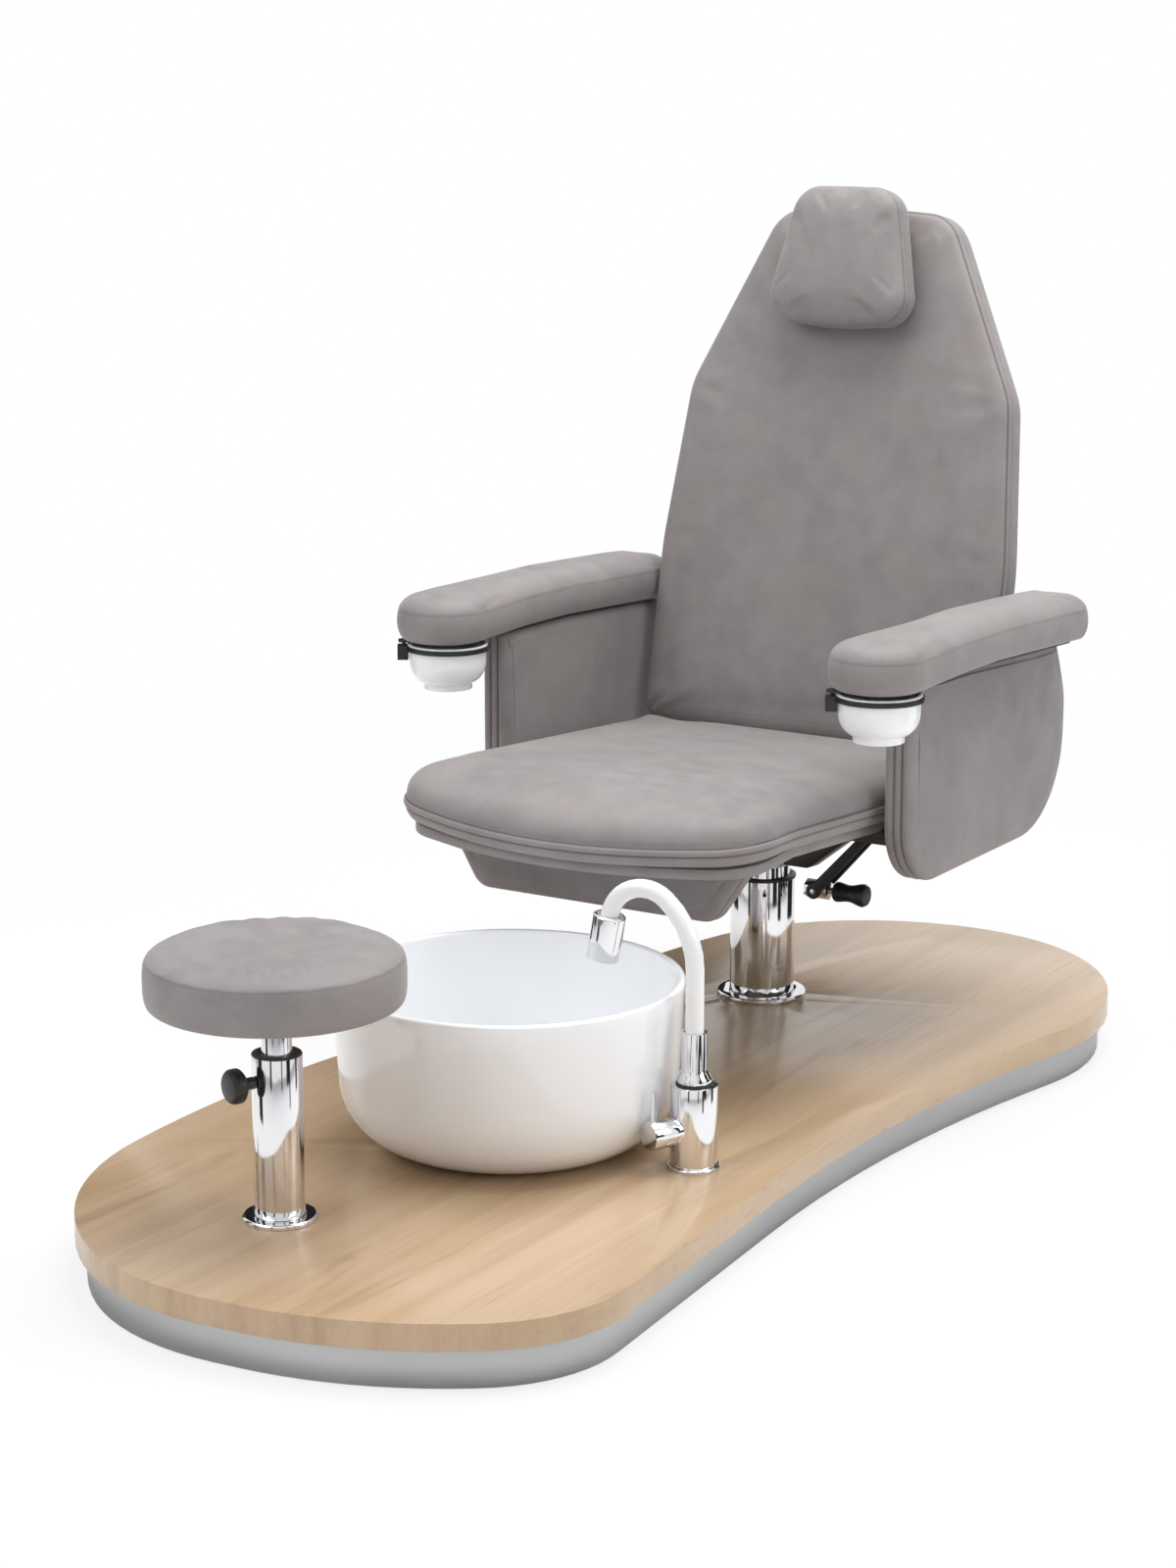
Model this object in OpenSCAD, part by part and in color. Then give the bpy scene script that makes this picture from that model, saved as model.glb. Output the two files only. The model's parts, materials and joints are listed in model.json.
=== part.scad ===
// Podiatry chair on a platform, with foot basin, tap and foot stool.
// Millimetres, +Z up, the front faces -Y. The origin is on the floor, on the chair column's axis.

/* [Platform] */
// Length of the platform board
platform_l = 2003; // [1600:1:2400]
// Width of the platform board
platform_w = 868; // [700:1:1000]
// Thickness of the oak board
board_t = 35; // [20:1:50]
// Height of the plinth from the floor to the board
plinth_h = 55; // [35:1:90]
// How far the plinth stands back from the board's edge
plinth_inset = 14; // [8:1:40]
// Thickness of the steel plinth band
skirt_t = 1.5; // [1:0.1:3]
// Diameter of a levelling foot
foot_d = 60; // [40:1:90]
// Height of a levelling foot's pad
foot_h = 8; // [5:0.5:12]

/* [Chair column] */
// Outer diameter of the column tube
column_d = 100; // [80:1:130]
// Wall of the column tube
column_wall = 4; // [2:0.5:8]
// Height of the column tube above the board
column_h = 190; // [160:1:300]
// Diameter of the floor flange
column_flange_d = 138; // [120:1:200]
// Height of the floor flange
column_flange_h = 8; // [6:0.5:15]
// Outer diameter of the lift tube
lift_d = 84; // [60:1:90]
// Travel of the lift
lift_travel = 140; // [60:1:150]

/* [Seat] */
// Width of the seat cushion
seat_w = 610; // [520:1:700]
// Reach of the seat's front edge from the column's axis
seat_front = 641; // [520:1:720]
// Reach of the seat's rear edge from the column's axis
seat_rear = 141; // [100:1:150]
// Height of the seat's upper seam at the column's axis
seat_z = 455; // [435:1:560]
// Rake of the seat, down towards the back
seat_rake = 3.8; // [0:0.1:8]
// Drop of the front edge under the raked plane
seat_fall = 27; // [0:1:50]
// Height of the cushion's crown over its upper seam
seat_crown = 46; // [20:1:80]
// Height of the flat band between the two seams
welt_band = 11; // [6:0.5:20]
// Height of the boxing under the band
seat_boxing = 18; // [10:1:40]
// Thickness of the seat board
seat_board_t = 15; // [9:1:25]

/* [Apron] */
// Width of the apron at its top
apron_w = 508; // [400:1:560]
// Width of the apron at its bottom
apron_bottom_w = 392; // [300:1:500]
// Height of the apron
apron_h = 89; // [60:1:130]
// Thickness of the apron
apron_t = 40; // [20:1:60]

/* [Side panels] */
// Distance between the two panels
panel_gap = 640; // [620:1:760]
// Thickness of a panel
panel_t = 50; // [30:1:70]
// Distance of a panel's front edge behind the nail bowl's centre
panel_setback = 97; // [90:1:180]
// Reach of a panel's rear edge from the column's axis
panel_rear = 303; // [240:1:360]
// Height of a panel's bottom edge above the floor
panel_z = 355; // [330:1:450]

/* [Armrests] */
// Width of an armrest
arm_w = 120; // [90:1:150]
// Diameter of the round front end
arm_front_d = 152; // [120:1:180]
// Distance between the two armrests' centre lines
arm_spacing = 738; // [700:1:820]
// Reach of the round front end's centre from the column's axis
arm_reach = 330; // [280:1:420]
// Reach of an armrest's rear end from the column's axis
arm_rear = 262; // [200:1:320]
// Height of an armrest's underside
arm_z = 670; // [600:1:760]
// Height of the seam above the underside
arm_seam_h = 46; // [30:1:70]
// Height of the crown above the seam
arm_crown = 26; // [10:1:40]
// Drop of an armrest towards its rear end
arm_rear_drop = 15; // [0:1:40]

/* [Backrest] */
// Width at the bottom
back_w = 610; // [520:1:700]
// Width at the shoulders
shoulder_w = 562; // [460:1:640]
// Width at the top
back_top_w = 300; // [200:1:400]
// Length from the hinge axis to the top
back_l = 842; // [700:1:1000]
// Length from the hinge axis to the shoulders
shoulder_l = 557; // [400:1:640]
// Lean of the backrest from upright
back_tilt = 11.3; // [0:0.1:25]
// Thickness from the hinge plane to the front seam
back_seam_d = 47; // [35:1:80]
// Height of the cushion's crown over its front seam
back_crown = 15; // [8:1:40]
// Diameter of the hinge pins
hinge_pin_d = 16; // [10:1:20]

/* [Headrest] */
// Width of the pillow at its bottom
pillow_w = 254; // [200:1:300]
// Width of the pillow at its top
pillow_top_w = 166; // [120:1:240]
// Height of the pillow
pillow_h = 212; // [160:1:260]
// Thickness from the pillow's rear face to its front seam
pillow_seam_d = 45; // [25:1:60]
// Height of the pillow's crown over its front seam
pillow_crown = 28; // [10:1:40]
// Travel of the headrest
headrest_travel = 70; // [20:1:80]

/* [Nail bowls] */
// Diameter of a bowl's lip
bowl_d = 122; // [100:1:130]
// Height of a bowl
bowl_h = 69; // [50:1:80]
// Wall of a bowl
bowl_wall = 4; // [2:0.5:6]
// Width of the holder ring's bar
ring_bar = 4.5; // [3:0.5:8]
// Height of the holder ring's bar
ring_h = 7; // [4:0.5:10]

/* [Foot basin] */
// Diameter of the rim
basin_d = 478; // [380:1:520]
// Height of the basin
basin_h = 230; // [160:1:300]
// Radius of the rounded bottom corner
basin_corner_r = 95; // [60:1:110]
// Wall of the basin
basin_wall = 10; // [6:0.5:16]

/* [Tap] */
// Diameter of the tap's body
tap_d = 64; // [50:1:80]
// Height of the tap's body
tap_h = 115; // [90:1:160]
// Diameter of the white hose
hose_d = 25; // [18:1:30]
// Straight rise of the hose above its sleeve
hose_rise = 83; // [40:1:140]
// Diameter of the spray head
spray_d = 44; // [34:1:60]
// Length of the spray head
spray_l = 64; // [45:1:90]
// Diameter of the lever barrel
barrel_d = 38; // [28:1:46]

/* [Foot stool] */
// Diameter of the pad
stool_d = 331; // [260:1:400]
// Height of the pad's side below its seam
stool_side = 60; // [40:1:90]
// Height of the crown over the seam
stool_crown = 20; // [8:1:40]
// Diameter of the outer post
post_d = 65; // [50:1:80]
// Height of the outer post above the board
post_h = 219; // [150:1:300]
// Diameter of the inner tube
stem_d = 39; // [30:1:45]
// Travel of the stool
stool_travel = 110; // [40:1:120]

/* [Hidden] */

// Shared values
$fn = 96;
overrun = 1;
seat_gap = 0.3;
seam_dent = 3;
seam_half = 2;
welt_swell = 1;
travel_spare = 6;
plate_shift = 5;
slide_fit = 0.05;
leather_colour = [0.56, 0.53, 0.53];
chrome_colour = [0.80, 0.81, 0.83];
black_colour = [0.09, 0.09, 0.10];
white_colour = [0.95, 0.95, 0.94];
oak_colour = [0.83, 0.67, 0.47];
steel_colour = [0.62, 0.62, 0.63];
pale_colour = [0.72, 0.73, 0.74];
board_top = plinth_h + board_t;

// Platform outline: corners as shares of its width and length, radii as shares of its width
platform_corner_shares = [
    [-0.4668, -0.4057], [-0.4121, -0.6278], [-0.1107, -0.7417], [0.2913, -0.7301],
    [0.5548, -0.6478], [0.4596, -0.1771], [0.6101, 0.154], [0.258, 0.2697], [-0.2163, 0.245]
];
platform_radius_shares = [2.146, 0.55, 0.435, 0.628, 0.244, -2.947, 0.457, 0.378, 0.425];
platform_steps = 10;
foot_place_shares = [
    [0, 0], [-0.30, -0.30], [-0.30, -0.50], [-0.20, -0.66], [0.05, -0.69], [0.34, -0.68],
    [0.46, -0.50], [0.38, -0.25], [0.46, 0.05], [0.36, 0.20], [0.05, 0.21], [-0.18, 0.13],
    [-0.12, -0.394], [-0.032, -0.6]
];
foot_stem_d = 10;
foot_stem_h = 24;

// Chair column
column_base_t = 5;
column_base_rim = 6;
column_base_d = column_flange_d - 2 * column_base_rim;
column_cover_t = 2.5;
column_bolt_d = 10;
column_bolt_l = 60;
column_bolt_head_d = 20;
column_bolt_place_share = 0.53;
guide_ring_h = 30;
guide_lip_h = 5;
guide_lip_out = 1.5;
column_mark_d = 6;
column_mark_share = 0.9;
column_top = board_top + column_h;
lift_wall = 4;
lift_cap_t = 8;
lift_above = 17;
lift_top = column_top + guide_lip_h + lift_above;
lift_bottom = column_top - guide_ring_h - lift_travel - travel_spare;
spigot_d = 40;
spigot_h = 30;
bearing_t = 4;
bearing_rim = 1;
gas_d = 40;
gas_rod_d = 20;
gas_rod_bottom = board_top + column_base_t + 2 * travel_spare;
gas_head = 10;
gas_top = gas_rod_bottom + lift_travel + gas_head;

// Swivel head and seat frame, the frame in the raked seat's own directions
head_bottom = lift_top + bearing_t + slide_fit;
head_bottom_d = 90;
head_top_d = 190;
head_plate_t = 8;
rail_w = 50;
cross_w = 30;
rail_h = 20;
rail_spacing = 400;
rail_front = 428;
rail_nose_drop = 4;
rail_rear = 110;
frame_depth = welt_band + seat_boxing + seat_board_t;
cross_front = 150;
cross_rear = 78;
arm_bar_t = 36;
arm_foot_in = 50;
arm_foot_out = 92;
arm_foot_rise = 2;
arm_foot_h = 30;
arm_head_in = 176;
arm_head_out = 196;

// Release lever
lever_x = 98;
lever_drop = 8;
lever_z = column_top - lever_drop;
boss_d = 30;
boss_l = 38;
ear_t = 4;
pin_proud = 1;
head_lip_h = 4;
ear_d = 24;
ear_head_in = 207;
ear_head_out = 224;
lever_pin_d = 8;
lever_rod_d = 10;
lever_neck = 10;
knob_l = 55;
knob_edge = 3;
knob_d = 36;
knob_neck_d = 31;
knob_waist_d = 26;

// Seat outline
seat_front_r_share = 1.057;
seat_bow_share = 0.20;
seat_corner_r = 100;
seat_rear_r = 30;
seat_fall_from = 430;
seat_centre_y = -230;
cushion_steps = 6;
cushion_grain = 75;
board_inset = 18;
apron_y = 499;
apron_roll = 26;
apron_corner_r = 34;
apron_top_r = 12;

// Side panels and armrests
panel_front = arm_reach - panel_setback;
panel_front_r = 92;
panel_swell = 0.5;
panel_roll = 22;
panel_neck = 38;
panel_shoulder = 90;
panel_rear_r = 150;
panel_shoulder_r = 120;
arm_roll = 50;
plate_t = 4;
plate_w = 74;
plate_front_d = 98;
plate_rear_inset = 40;
arm_crest = 60;
arm_rear_r = 34;
arm_neck_r = 260;
arm_neck = 190;

// Backrest hinge and board
hinge_y = 190;
hinge_z = 455;
back_bottom = 18;
back_roll = 34;
back_top_rise = 4;
back_board_t = 15;
back_board_d = 5;
back_board_inset = 6;
back_shoulder_r = 120;
back_top_r = 62;
back_bottom_r = 28;
back_waist_l = 300;
hinge_arm_t = 8;
hinge_arm_l = 170;
hinge_arm_depth = 12;
hinge_eye_d = 32;
hinge_inset = 23;
hinge_arm_x = seat_w / 2 - hinge_inset;
bracket_t = 6;
bracket_gap = 4;

// Headrest
pillow_bottom = 655;
pillow_bow = 4;
pillow_roll = 20;
pillow_rear_d = back_seam_d + back_crown + 2 * seam_half;
pillow_bottom_r = 44;
pillow_top_r = 48;
bar_w = 40;
bar_t = 5;
bar_low = 680;
bar_top = 862;
bar_behind = 6;
guide_low = 740;
guide_h = 60;
guide_wall = 6;
back_plate_t = 3;
back_plate_low = 770;
back_plate_w = 90;

// Nail bowl holders
ring_land = 2.5;
ring_inner_d = bowl_d - 2 * ring_land;
bowl_body_d = ring_inner_d - 2 * seat_gap;
bowl_foot_d = 73;
bowl_foot_h = 7;
bowl_straight = 20;
bowl_round_h = 44;
bowl_round_a = 56;
bowl_fullness_share = 0.8;
bowl_lip_h = 3;
bowl_clear = 1.5;
bowl_edge = 1.5;
bowl_lip_z = arm_z - plate_t - bowl_clear;
ring_z = bowl_lip_z - bowl_lip_h - ring_h;
pivot_a = 212;
pivot_r = 66;
pivot_pin_d = 6;
pivot_block = 19;
pivot_block_h = 22;
pivot_ear_d = 17;
pivot_offset = 3;

// Basin
basin_x = 45;
basin_y = -0.3934 * platform_l;
basin_lean = 3;
waste_d = 70;
waste_t = 2.5;
waste_pipe_d = 40;
waste_bore_d = 32;
waste_l = 60;
waste_web_t = 5;
plug_d = 60;
plug_t = 4;
plug_stem_d = 8;
plug_stem_l = 42;

// Tap
tap_gap = 35;
tap_x = basin_x + basin_d / 2 + tap_gap;
tap_y = -0.3789 * platform_l;
tap_flange_d = 72;
tap_flange_h = 5;
tap_shank_d = 30;
tap_shank_l = 28;
seal_d = 50;
seal_t = 3;
collar_d = 47;
collar_lip = 6;
collar_cone = 12;
sleeve_d = 35;
sleeve_h = 51;
spout_spigot_d = 24;
spout_spigot_l = 22;
spout_a = 186;
sweep_r = 120;
sweep_a = 50;
bend_r = 50;
bend_a = 120;
hose_in_head = 14;
hose_sides = 20;
hose_sweep_steps = 5;
hose_bend_steps = 12;
spray_wall = 4;
spray_face_t = 4;
barrel_a = 245;
barrel_z = 55;
barrel_in = 35;
barrel_out = 73;
barrel_stub_d = 16;
barrel_stub_end = 56;
barrel_boss_d = 34;
pin_d = 8;
pin_l = 60;
pin_in = 8;

// Stool
stool_x = -28;
stool_y = -0.6036 * platform_l;
stool_flange_d = 97;
stool_flange_h = 7;
post_wall = 4;
bush_h = 46;
bush_lip_h = 2;
stem_wall = 3;
stem_show = 63;
stem_top = board_top + post_h + stem_show;
stem_bottom = board_top + post_h - bush_h - stool_travel - travel_spare;
stool_hub_d = 60;
stool_hub_h = 14;
stool_plate_d = 180;
stool_plate_t = 4;
stool_board_d = 306;
stool_board_t = 10;
stool_roll = 9;
clamp_a = 247;
clamp_z = 187;
screw_d = 8;
clamp_neck_d = 16;
clamp_neck_end = 50;
clamp_knob_d = 45;
clamp_knob_l = 22;

// Outline of a polygon whose corners are rounded. A negative radius rounds an inward corner.
function unit(v) = v / norm(v);
function corner_arc(a, p, b, r, steps) =
    let (u = unit(a - p), w = unit(b - p), half = acos(u * w) / 2)
    let (c = p + unit(u + w) * abs(r) / sin(half))
    let (s = p + u * abs(r) / tan(half) - c, e = p + w * abs(r) / tan(half) - c)
    let (from = atan2(s.y, s.x), turn = (atan2(e.y, e.x) - from + 540) % 360 - 180)
    [for (i = [0:steps]) c + abs(r) * [cos(from + turn * i / steps), sin(from + turn * i / steps)]];
function rounded(corners, radii, steps) =
    let (m = len(corners))
    [for (i = [0:m - 1])
        each corner_arc(corners[(i + m - 1) % m], corners[i], corners[(i + 1) % m], radii[i], steps)];

// Extra points along the straight stretches of an outline
function divided(line, grain) =
    let (m = len(line))
    [for (i = [0:m - 1])
        let (a = line[i], b = line[(i + 1) % m], parts = max(1, round(norm(b - a) / grain)))
        for (k = [0:parts - 1]) a + (b - a) * k / parts];

// An outline drawn in by a distance, for a line that runs anticlockwise
function inset(line, distance) =
    let (m = len(line))
    [for (i = [0:m - 1])
        let (t = unit(line[(i + 1) % m] - line[(i + m - 1) % m])) line[i] + distance * [-t.y, t.x]];

// One ring of a padded form: the outline drawn in, shrunk to its centre and set at a height
function ring(line, centre, step) =
    [for (p = inset(line, step[0])) let (q = centre + (p - centre) * step[1]) [q.x, q.y, step[2]]];

// An outline with a point more wherever it crosses the line at y
function crossed(line, y) =
    let (m = len(line))
    [for (i = [0:m - 1])
        let (a = line[i], b = line[(i + 1) % m])
        each (a.y - y) * (b.y - y) < 0 ? [a, a + (b - a) * (y - a.y) / (b.y - a.y)] : [a]];

// A padded form through a list of rings, with a point closing each end
module padded(line, centre, steps, low, high, bend = function(p) 0, foot = undef) {
    under = is_undef(foot) ? centre : foot;
    count = len(line);
    last = len(steps) - 1;
    flat = concat(
        [for (step = steps) each ring(line, centre, step)],
        [[under.x, under.y, low], [centre.x, centre.y, high]]
    );
    bent = [for (p = flat) [p.x, p.y, p.z + bend(p)]];
    sides = [
        for (k = [0:last - 1]) for (i = [0:count - 1])
        let (a = k * count + i, b = k * count + (i + 1) % count)
        each [[a, a + count, b + count], [a, b + count, b]]
    ];
    bottom = [for (i = [0:count - 1]) [(last + 1) * count, i, (i + 1) % count]];
    top = [
        for (i = [0:count - 1])
        [(last + 1) * count + 1, last * count + (i + 1) % count, last * count + i]
    ];
    polyhedron(bent, concat(sides, bottom, top));
}

// Frames of the raked seat and of the leaning back
module on_seat() {
    translate([0, 0, seat_z]) rotate([-seat_rake, 0, 0]) children();
}
module on_back() {
    translate([0, hinge_y, hinge_z]) rotate([90 - back_tilt, 0, 0]) children();
}
module upright_x() {
    rotate([90, 0, 90]) children();
}

// Platform
platform_line = rounded(
    [for (s = platform_corner_shares) [s.x * platform_w, s.y * platform_l]],
    [for (s = platform_radius_shares) s * platform_w], platform_steps
);
module platform_openings(fit) {
    for (i = [0:3])
        rotate(45 + i * 90)
            translate([column_base_d / 2 * column_bolt_place_share, 0, 0])
                cylinder(d = column_bolt_d + fit, h = board_top + overrun);
    translate([basin_x, basin_y, 0])
        cylinder(d = waste_pipe_d + fit, h = board_top + overrun);
    translate([tap_x, tap_y, board_top - tap_shank_l - overrun])
        cylinder(d = tap_shank_d + fit, h = tap_shank_l + 2 * overrun);
}
module platform_board() {
    color(oak_colour)
        difference() {
            translate([0, 0, plinth_h])
                linear_extrude(board_t) polygon(platform_line);
            platform_openings(2 * seat_gap);
        }
}
module plinth_core() {
    core_line = inset(platform_line, plinth_inset + skirt_t);
    color(oak_colour)
        difference() {
            translate([0, 0, foot_h])
                linear_extrude(plinth_h - foot_h) polygon(core_line);
            platform_openings(2 * seat_gap);
            for (s = foot_place_shares)
                translate([s.x * platform_w, s.y * platform_l, -overrun])
                    cylinder(d = foot_stem_d + 2 * seat_gap, h = foot_h + foot_stem_h + 2 * overrun);
        }
}
module plinth_skirt() {
    skirt_low = 3;
    color(steel_colour)
        translate([0, 0, skirt_low])
            linear_extrude(plinth_h - skirt_low)
                difference() {
                    polygon(inset(platform_line, plinth_inset));
                    polygon(inset(platform_line, plinth_inset + skirt_t));
                }
}
module levelling_feet() {
    color(black_colour)
        for (s = foot_place_shares)
            translate([s.x * platform_w, s.y * platform_l, 0]) {
                cylinder(d = foot_d, h = foot_h);
                cylinder(d = foot_stem_d, h = foot_h + foot_stem_h);
            }
}

// Chair column
module column_base() {
    color(steel_colour)
        translate([0, 0, board_top])
            difference() {
                cylinder(d = column_base_d, h = column_base_t);
                for (i = [0:3])
                    rotate(45 + i * 90)
                        translate([column_base_d / 2 * column_bolt_place_share, 0, -overrun]) {
                            cylinder(d = column_bolt_d + seat_gap, h = column_base_t + 2 * overrun);
                            translate([0, 0, overrun])
                                cylinder(
                                    d1 = column_bolt_d + seat_gap,
                                    d2 = column_bolt_head_d + seat_gap,
                                    h = column_base_t + 0.01 * overrun
                                );
                        }
            }
}
module column_bolts() {
    color(steel_colour)
        for (i = [0:3])
            rotate(45 + i * 90)
                translate([column_base_d / 2 * column_bolt_place_share, 0, board_top]) {
                    cylinder(d1 = column_bolt_d, d2 = column_bolt_head_d, h = column_base_t);
                    translate([0, 0, column_base_t - column_bolt_l])
                        cylinder(d = column_bolt_d, h = column_bolt_l);
                }
}
module column_flange() {
    edge = 2;
    color(chrome_colour)
        translate([0, 0, board_top])
            rotate_extrude($fn = 128)
                polygon([
                    [column_base_d / 2 + seat_gap, 0],
                    [column_flange_d / 2, 0],
                    [column_flange_d / 2, column_flange_h - edge],
                    [column_flange_d / 2 - edge, column_flange_h],
                    [column_d / 2 + seat_gap, column_flange_h],
                    [column_d / 2 + seat_gap, column_flange_h - column_cover_t],
                    [column_base_d / 2 + seat_gap, column_flange_h - column_cover_t]
                ]);
}
module column_tube() {
    color(chrome_colour)
        difference() {
            translate([0, 0, board_top + column_base_t])
                difference() {
                    cylinder(d = column_d, h = column_h - column_base_t);
                    translate([0, 0, -overrun])
                        cylinder(d = column_d - 2 * column_wall, h = column_h + 2 * overrun);
                }
            rotate(-58)
                translate([column_d / 2 - 2 * column_wall, 0, board_top + column_h * column_mark_share])
                    rotate([0, 90, 0]) cylinder(d = column_mark_d, h = 3 * column_wall, $fn = 24);
        }
}
module column_guide_ring() {
    color(black_colour)
        translate([0, 0, column_top])
            rotate_extrude($fn = 128)
                polygon([
                    [lift_d / 2 + slide_fit, -guide_ring_h],
                    [column_d / 2 - column_wall, -guide_ring_h],
                    [column_d / 2 - column_wall, 0],
                    [column_d / 2 + guide_lip_out, 0],
                    [column_d / 2 + guide_lip_out, guide_lip_h],
                    [lift_d / 2 + slide_fit, guide_lip_h]
                ]);
}
module gas_spring_cylinder() {
    color(black_colour)
        translate([0, 0, board_top + column_base_t])
            difference() {
                cylinder(d = gas_d, h = gas_top - board_top - column_base_t);
                translate([0, 0, gas_rod_bottom - board_top - column_base_t - overrun])
                    cylinder(d = gas_rod_d + 2 * slide_fit, h = gas_top);
            }
}
module gas_spring_rod() {
    color(chrome_colour)
        translate([0, 0, gas_rod_bottom])
            cylinder(d = gas_rod_d, h = lift_top - lift_cap_t - gas_rod_bottom);
}
module lift_tube() {
    color(chrome_colour)
        union() {
            difference() {
                translate([0, 0, lift_bottom])
                    cylinder(d = lift_d, h = lift_top - lift_bottom);
                translate([0, 0, lift_bottom - overrun])
                    cylinder(
                        d = lift_d - 2 * lift_wall,
                        h = lift_top - lift_cap_t - lift_bottom + overrun
                    );
            }
            translate([0, 0, lift_top])
                cylinder(d = spigot_d, h = spigot_h);
        }
}
module swivel_bearing() {
    color(steel_colour)
        translate([0, 0, lift_top])
            difference() {
                cylinder(d = head_bottom_d - 2 * bearing_rim, h = bearing_t);
                translate([0, 0, -overrun])
                    cylinder(d = spigot_d + 2 * seat_gap, h = bearing_t + 2 * overrun);
            }
}

// Swivel head, its two sloping arms and the release lever
module arm_shape() {
    polygon([
        [arm_foot_in, -seat_z + head_bottom + arm_foot_rise],
        [arm_foot_out, -seat_z + head_bottom + arm_foot_rise],
        [arm_head_out, -frame_depth - rail_h],
        [arm_head_in, -frame_depth - rail_h],
        [arm_foot_in, -seat_z + head_bottom + arm_foot_h]
    ]);
}
module arm_bars(grow) {
    for (side = [0, 1])
        mirror([side, 0, 0])
            on_seat()
                rotate([90, 0, 0])
                    translate([0, 0, -arm_bar_t / 2 - grow])
                        linear_extrude(arm_bar_t + 2 * grow) arm_shape();
}
module swivel_head() {
    head_h = seat_z - frame_depth - rail_h - head_bottom - head_plate_t;
    color(pale_colour)
        difference() {
            union() {
                translate([0, 0, head_bottom])
                    cylinder(d1 = head_bottom_d, d2 = head_top_d, h = head_h - head_lip_h);
                on_seat()
                    translate([-head_top_d / 2, -head_top_d / 2, -frame_depth - rail_h - head_plate_t])
                        cube([head_top_d, head_top_d, head_plate_t]);
            }
            translate([0, 0, head_bottom - overrun])
                cylinder(d = spigot_d + 2 * slide_fit, h = spigot_h + 3 * overrun);
            arm_bars(seat_gap);
            translate([arm_foot_in - overrun, -arm_bar_t / 2 - seat_gap, head_bottom - overrun])
                cube([column_d, arm_bar_t + 2 * seat_gap, 4 * overrun]);
        }
}
module support_arms() {
    color(black_colour)
        arm_bars(0);
}
module lever_bracket() {
    ear_y = boss_d / 2 + seat_gap;
    head_z = seat_z - frame_depth - rail_h / 2;
    color(pale_colour)
        difference() {
            for (side = [-1, 1])
                translate([0, side * (ear_y + ear_t / 2) + ear_t / 2, 0])
                    rotate([90, 0, 0])
                        difference() {
                            linear_extrude(ear_t) {
                                polygon([
                                    [lever_x, lever_z - ear_d / 2], [lever_x + ear_d / 2, lever_z],
                                    [ear_head_out, head_z], [ear_head_in, head_z],
                                    [lever_x - ear_d / 2, lever_z]
                                ]);
                                translate([lever_x, lever_z]) circle(d = ear_d);
                            }
                            translate([lever_x, lever_z, -overrun])
                                cylinder(d = lever_pin_d + 2 * slide_fit, h = ear_t + 2 * overrun);
                        }
            frame_bars();
        }
}
module lever_boss() {
    color(chrome_colour)
        translate([lever_x, 0, lever_z]) {
            translate([-boss_l / 2, 0, 0])
                rotate([0, 90, 0]) cylinder(d = boss_d, h = boss_l, $fn = 6);
            rotate([90, 0, 0])
                cylinder(
                    d = lever_pin_d, h = boss_d + 2 * (seat_gap + ear_t + pin_proud), center = true
                );
            rotate([0, 90, 0])
                cylinder(d = lever_rod_d, h = boss_l / 2 + lever_neck + knob_l / 2);
        }
}
module lever_knob() {
    swell = (knob_d - knob_neck_d) / 2;
    waist = (knob_neck_d + swell - knob_waist_d) / 4;
    color(black_colour)
        translate([lever_x + boss_l / 2 + lever_neck, 0, lever_z])
            rotate([0, 90, 0])
                rotate_extrude($fn = 64)
                    polygon(concat(
                        [[lever_rod_d / 2, knob_l / 2], [lever_rod_d / 2, 0], [knob_neck_d / 2 - knob_edge, 0]],
                        [for (i = [0:16])
                            let (t = i / 16)
                            [knob_neck_d / 2 - waist + swell * t + waist * cos(360 * t),
                                knob_edge + (knob_l - 3 * knob_edge) * t]],
                        [[knob_d / 2 - knob_edge, knob_l], [0, knob_l], [0, knob_l / 2]]
                    ));
}

// Seat
seat_corners = [
    [seat_w / 2, seat_rear],
    [-seat_w / 2, seat_rear],
    [-seat_w / 2, -seat_front + 0.59 * seat_bow_share * seat_w],
    [0, -seat_front - 0.41 * seat_bow_share * seat_w],
    [seat_w / 2, -seat_front + 0.59 * seat_bow_share * seat_w]
];
seat_line = divided(
    rounded(
        seat_corners,
        [seat_rear_r, seat_rear_r, seat_corner_r, seat_front_r_share * seat_w, seat_corner_r],
        cushion_steps
    ),
    cushion_grain
);
seat_foot_inset = 14;
seat_roll = 44;
function fall(p) =
    let (reach = max(0, -p.y - seat_fall_from) / (seat_front - seat_fall_from))
    -seat_fall * pow(reach, 2);
board_slope = fall([0, seat_foot_inset - seat_front]) / (seat_front - seat_foot_inset - seat_fall_from);
function board_fall(y) = board_slope * max(0, -y - seat_fall_from);
module seat_cushion() {
    boxed = welt_band + seat_boxing;
    color(leather_colour)
        on_seat()
            padded(
                seat_line, [0, seat_centre_y],
                [
                    [seat_foot_inset, 1, -boxed], [2 * seam_half, 1, seam_dent - boxed],
                    [welt_swell, 1, -welt_band - seam_dent], [seam_dent, 1, -welt_band],
                    [-welt_swell, 1, seam_half - welt_band], [-welt_swell, 1, -seam_half],
                    [seam_dent, 1, 0], [0, 1, 2 * seam_half], [welt_swell, 1, 0.34 * seat_crown],
                    [0.16 * seat_roll, 1, 0.58 * seat_crown],
                    [0.45 * seat_roll, 1, 0.77 * seat_crown], [seat_roll, 1, 0.88 * seat_crown],
                    [seat_roll, 0.72, 0.96 * seat_crown], [seat_roll, 0.36, seat_crown]
                ],
                -boxed, seat_crown, function(p) fall(p), [0, -seat_fall_from]
            );
}
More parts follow.
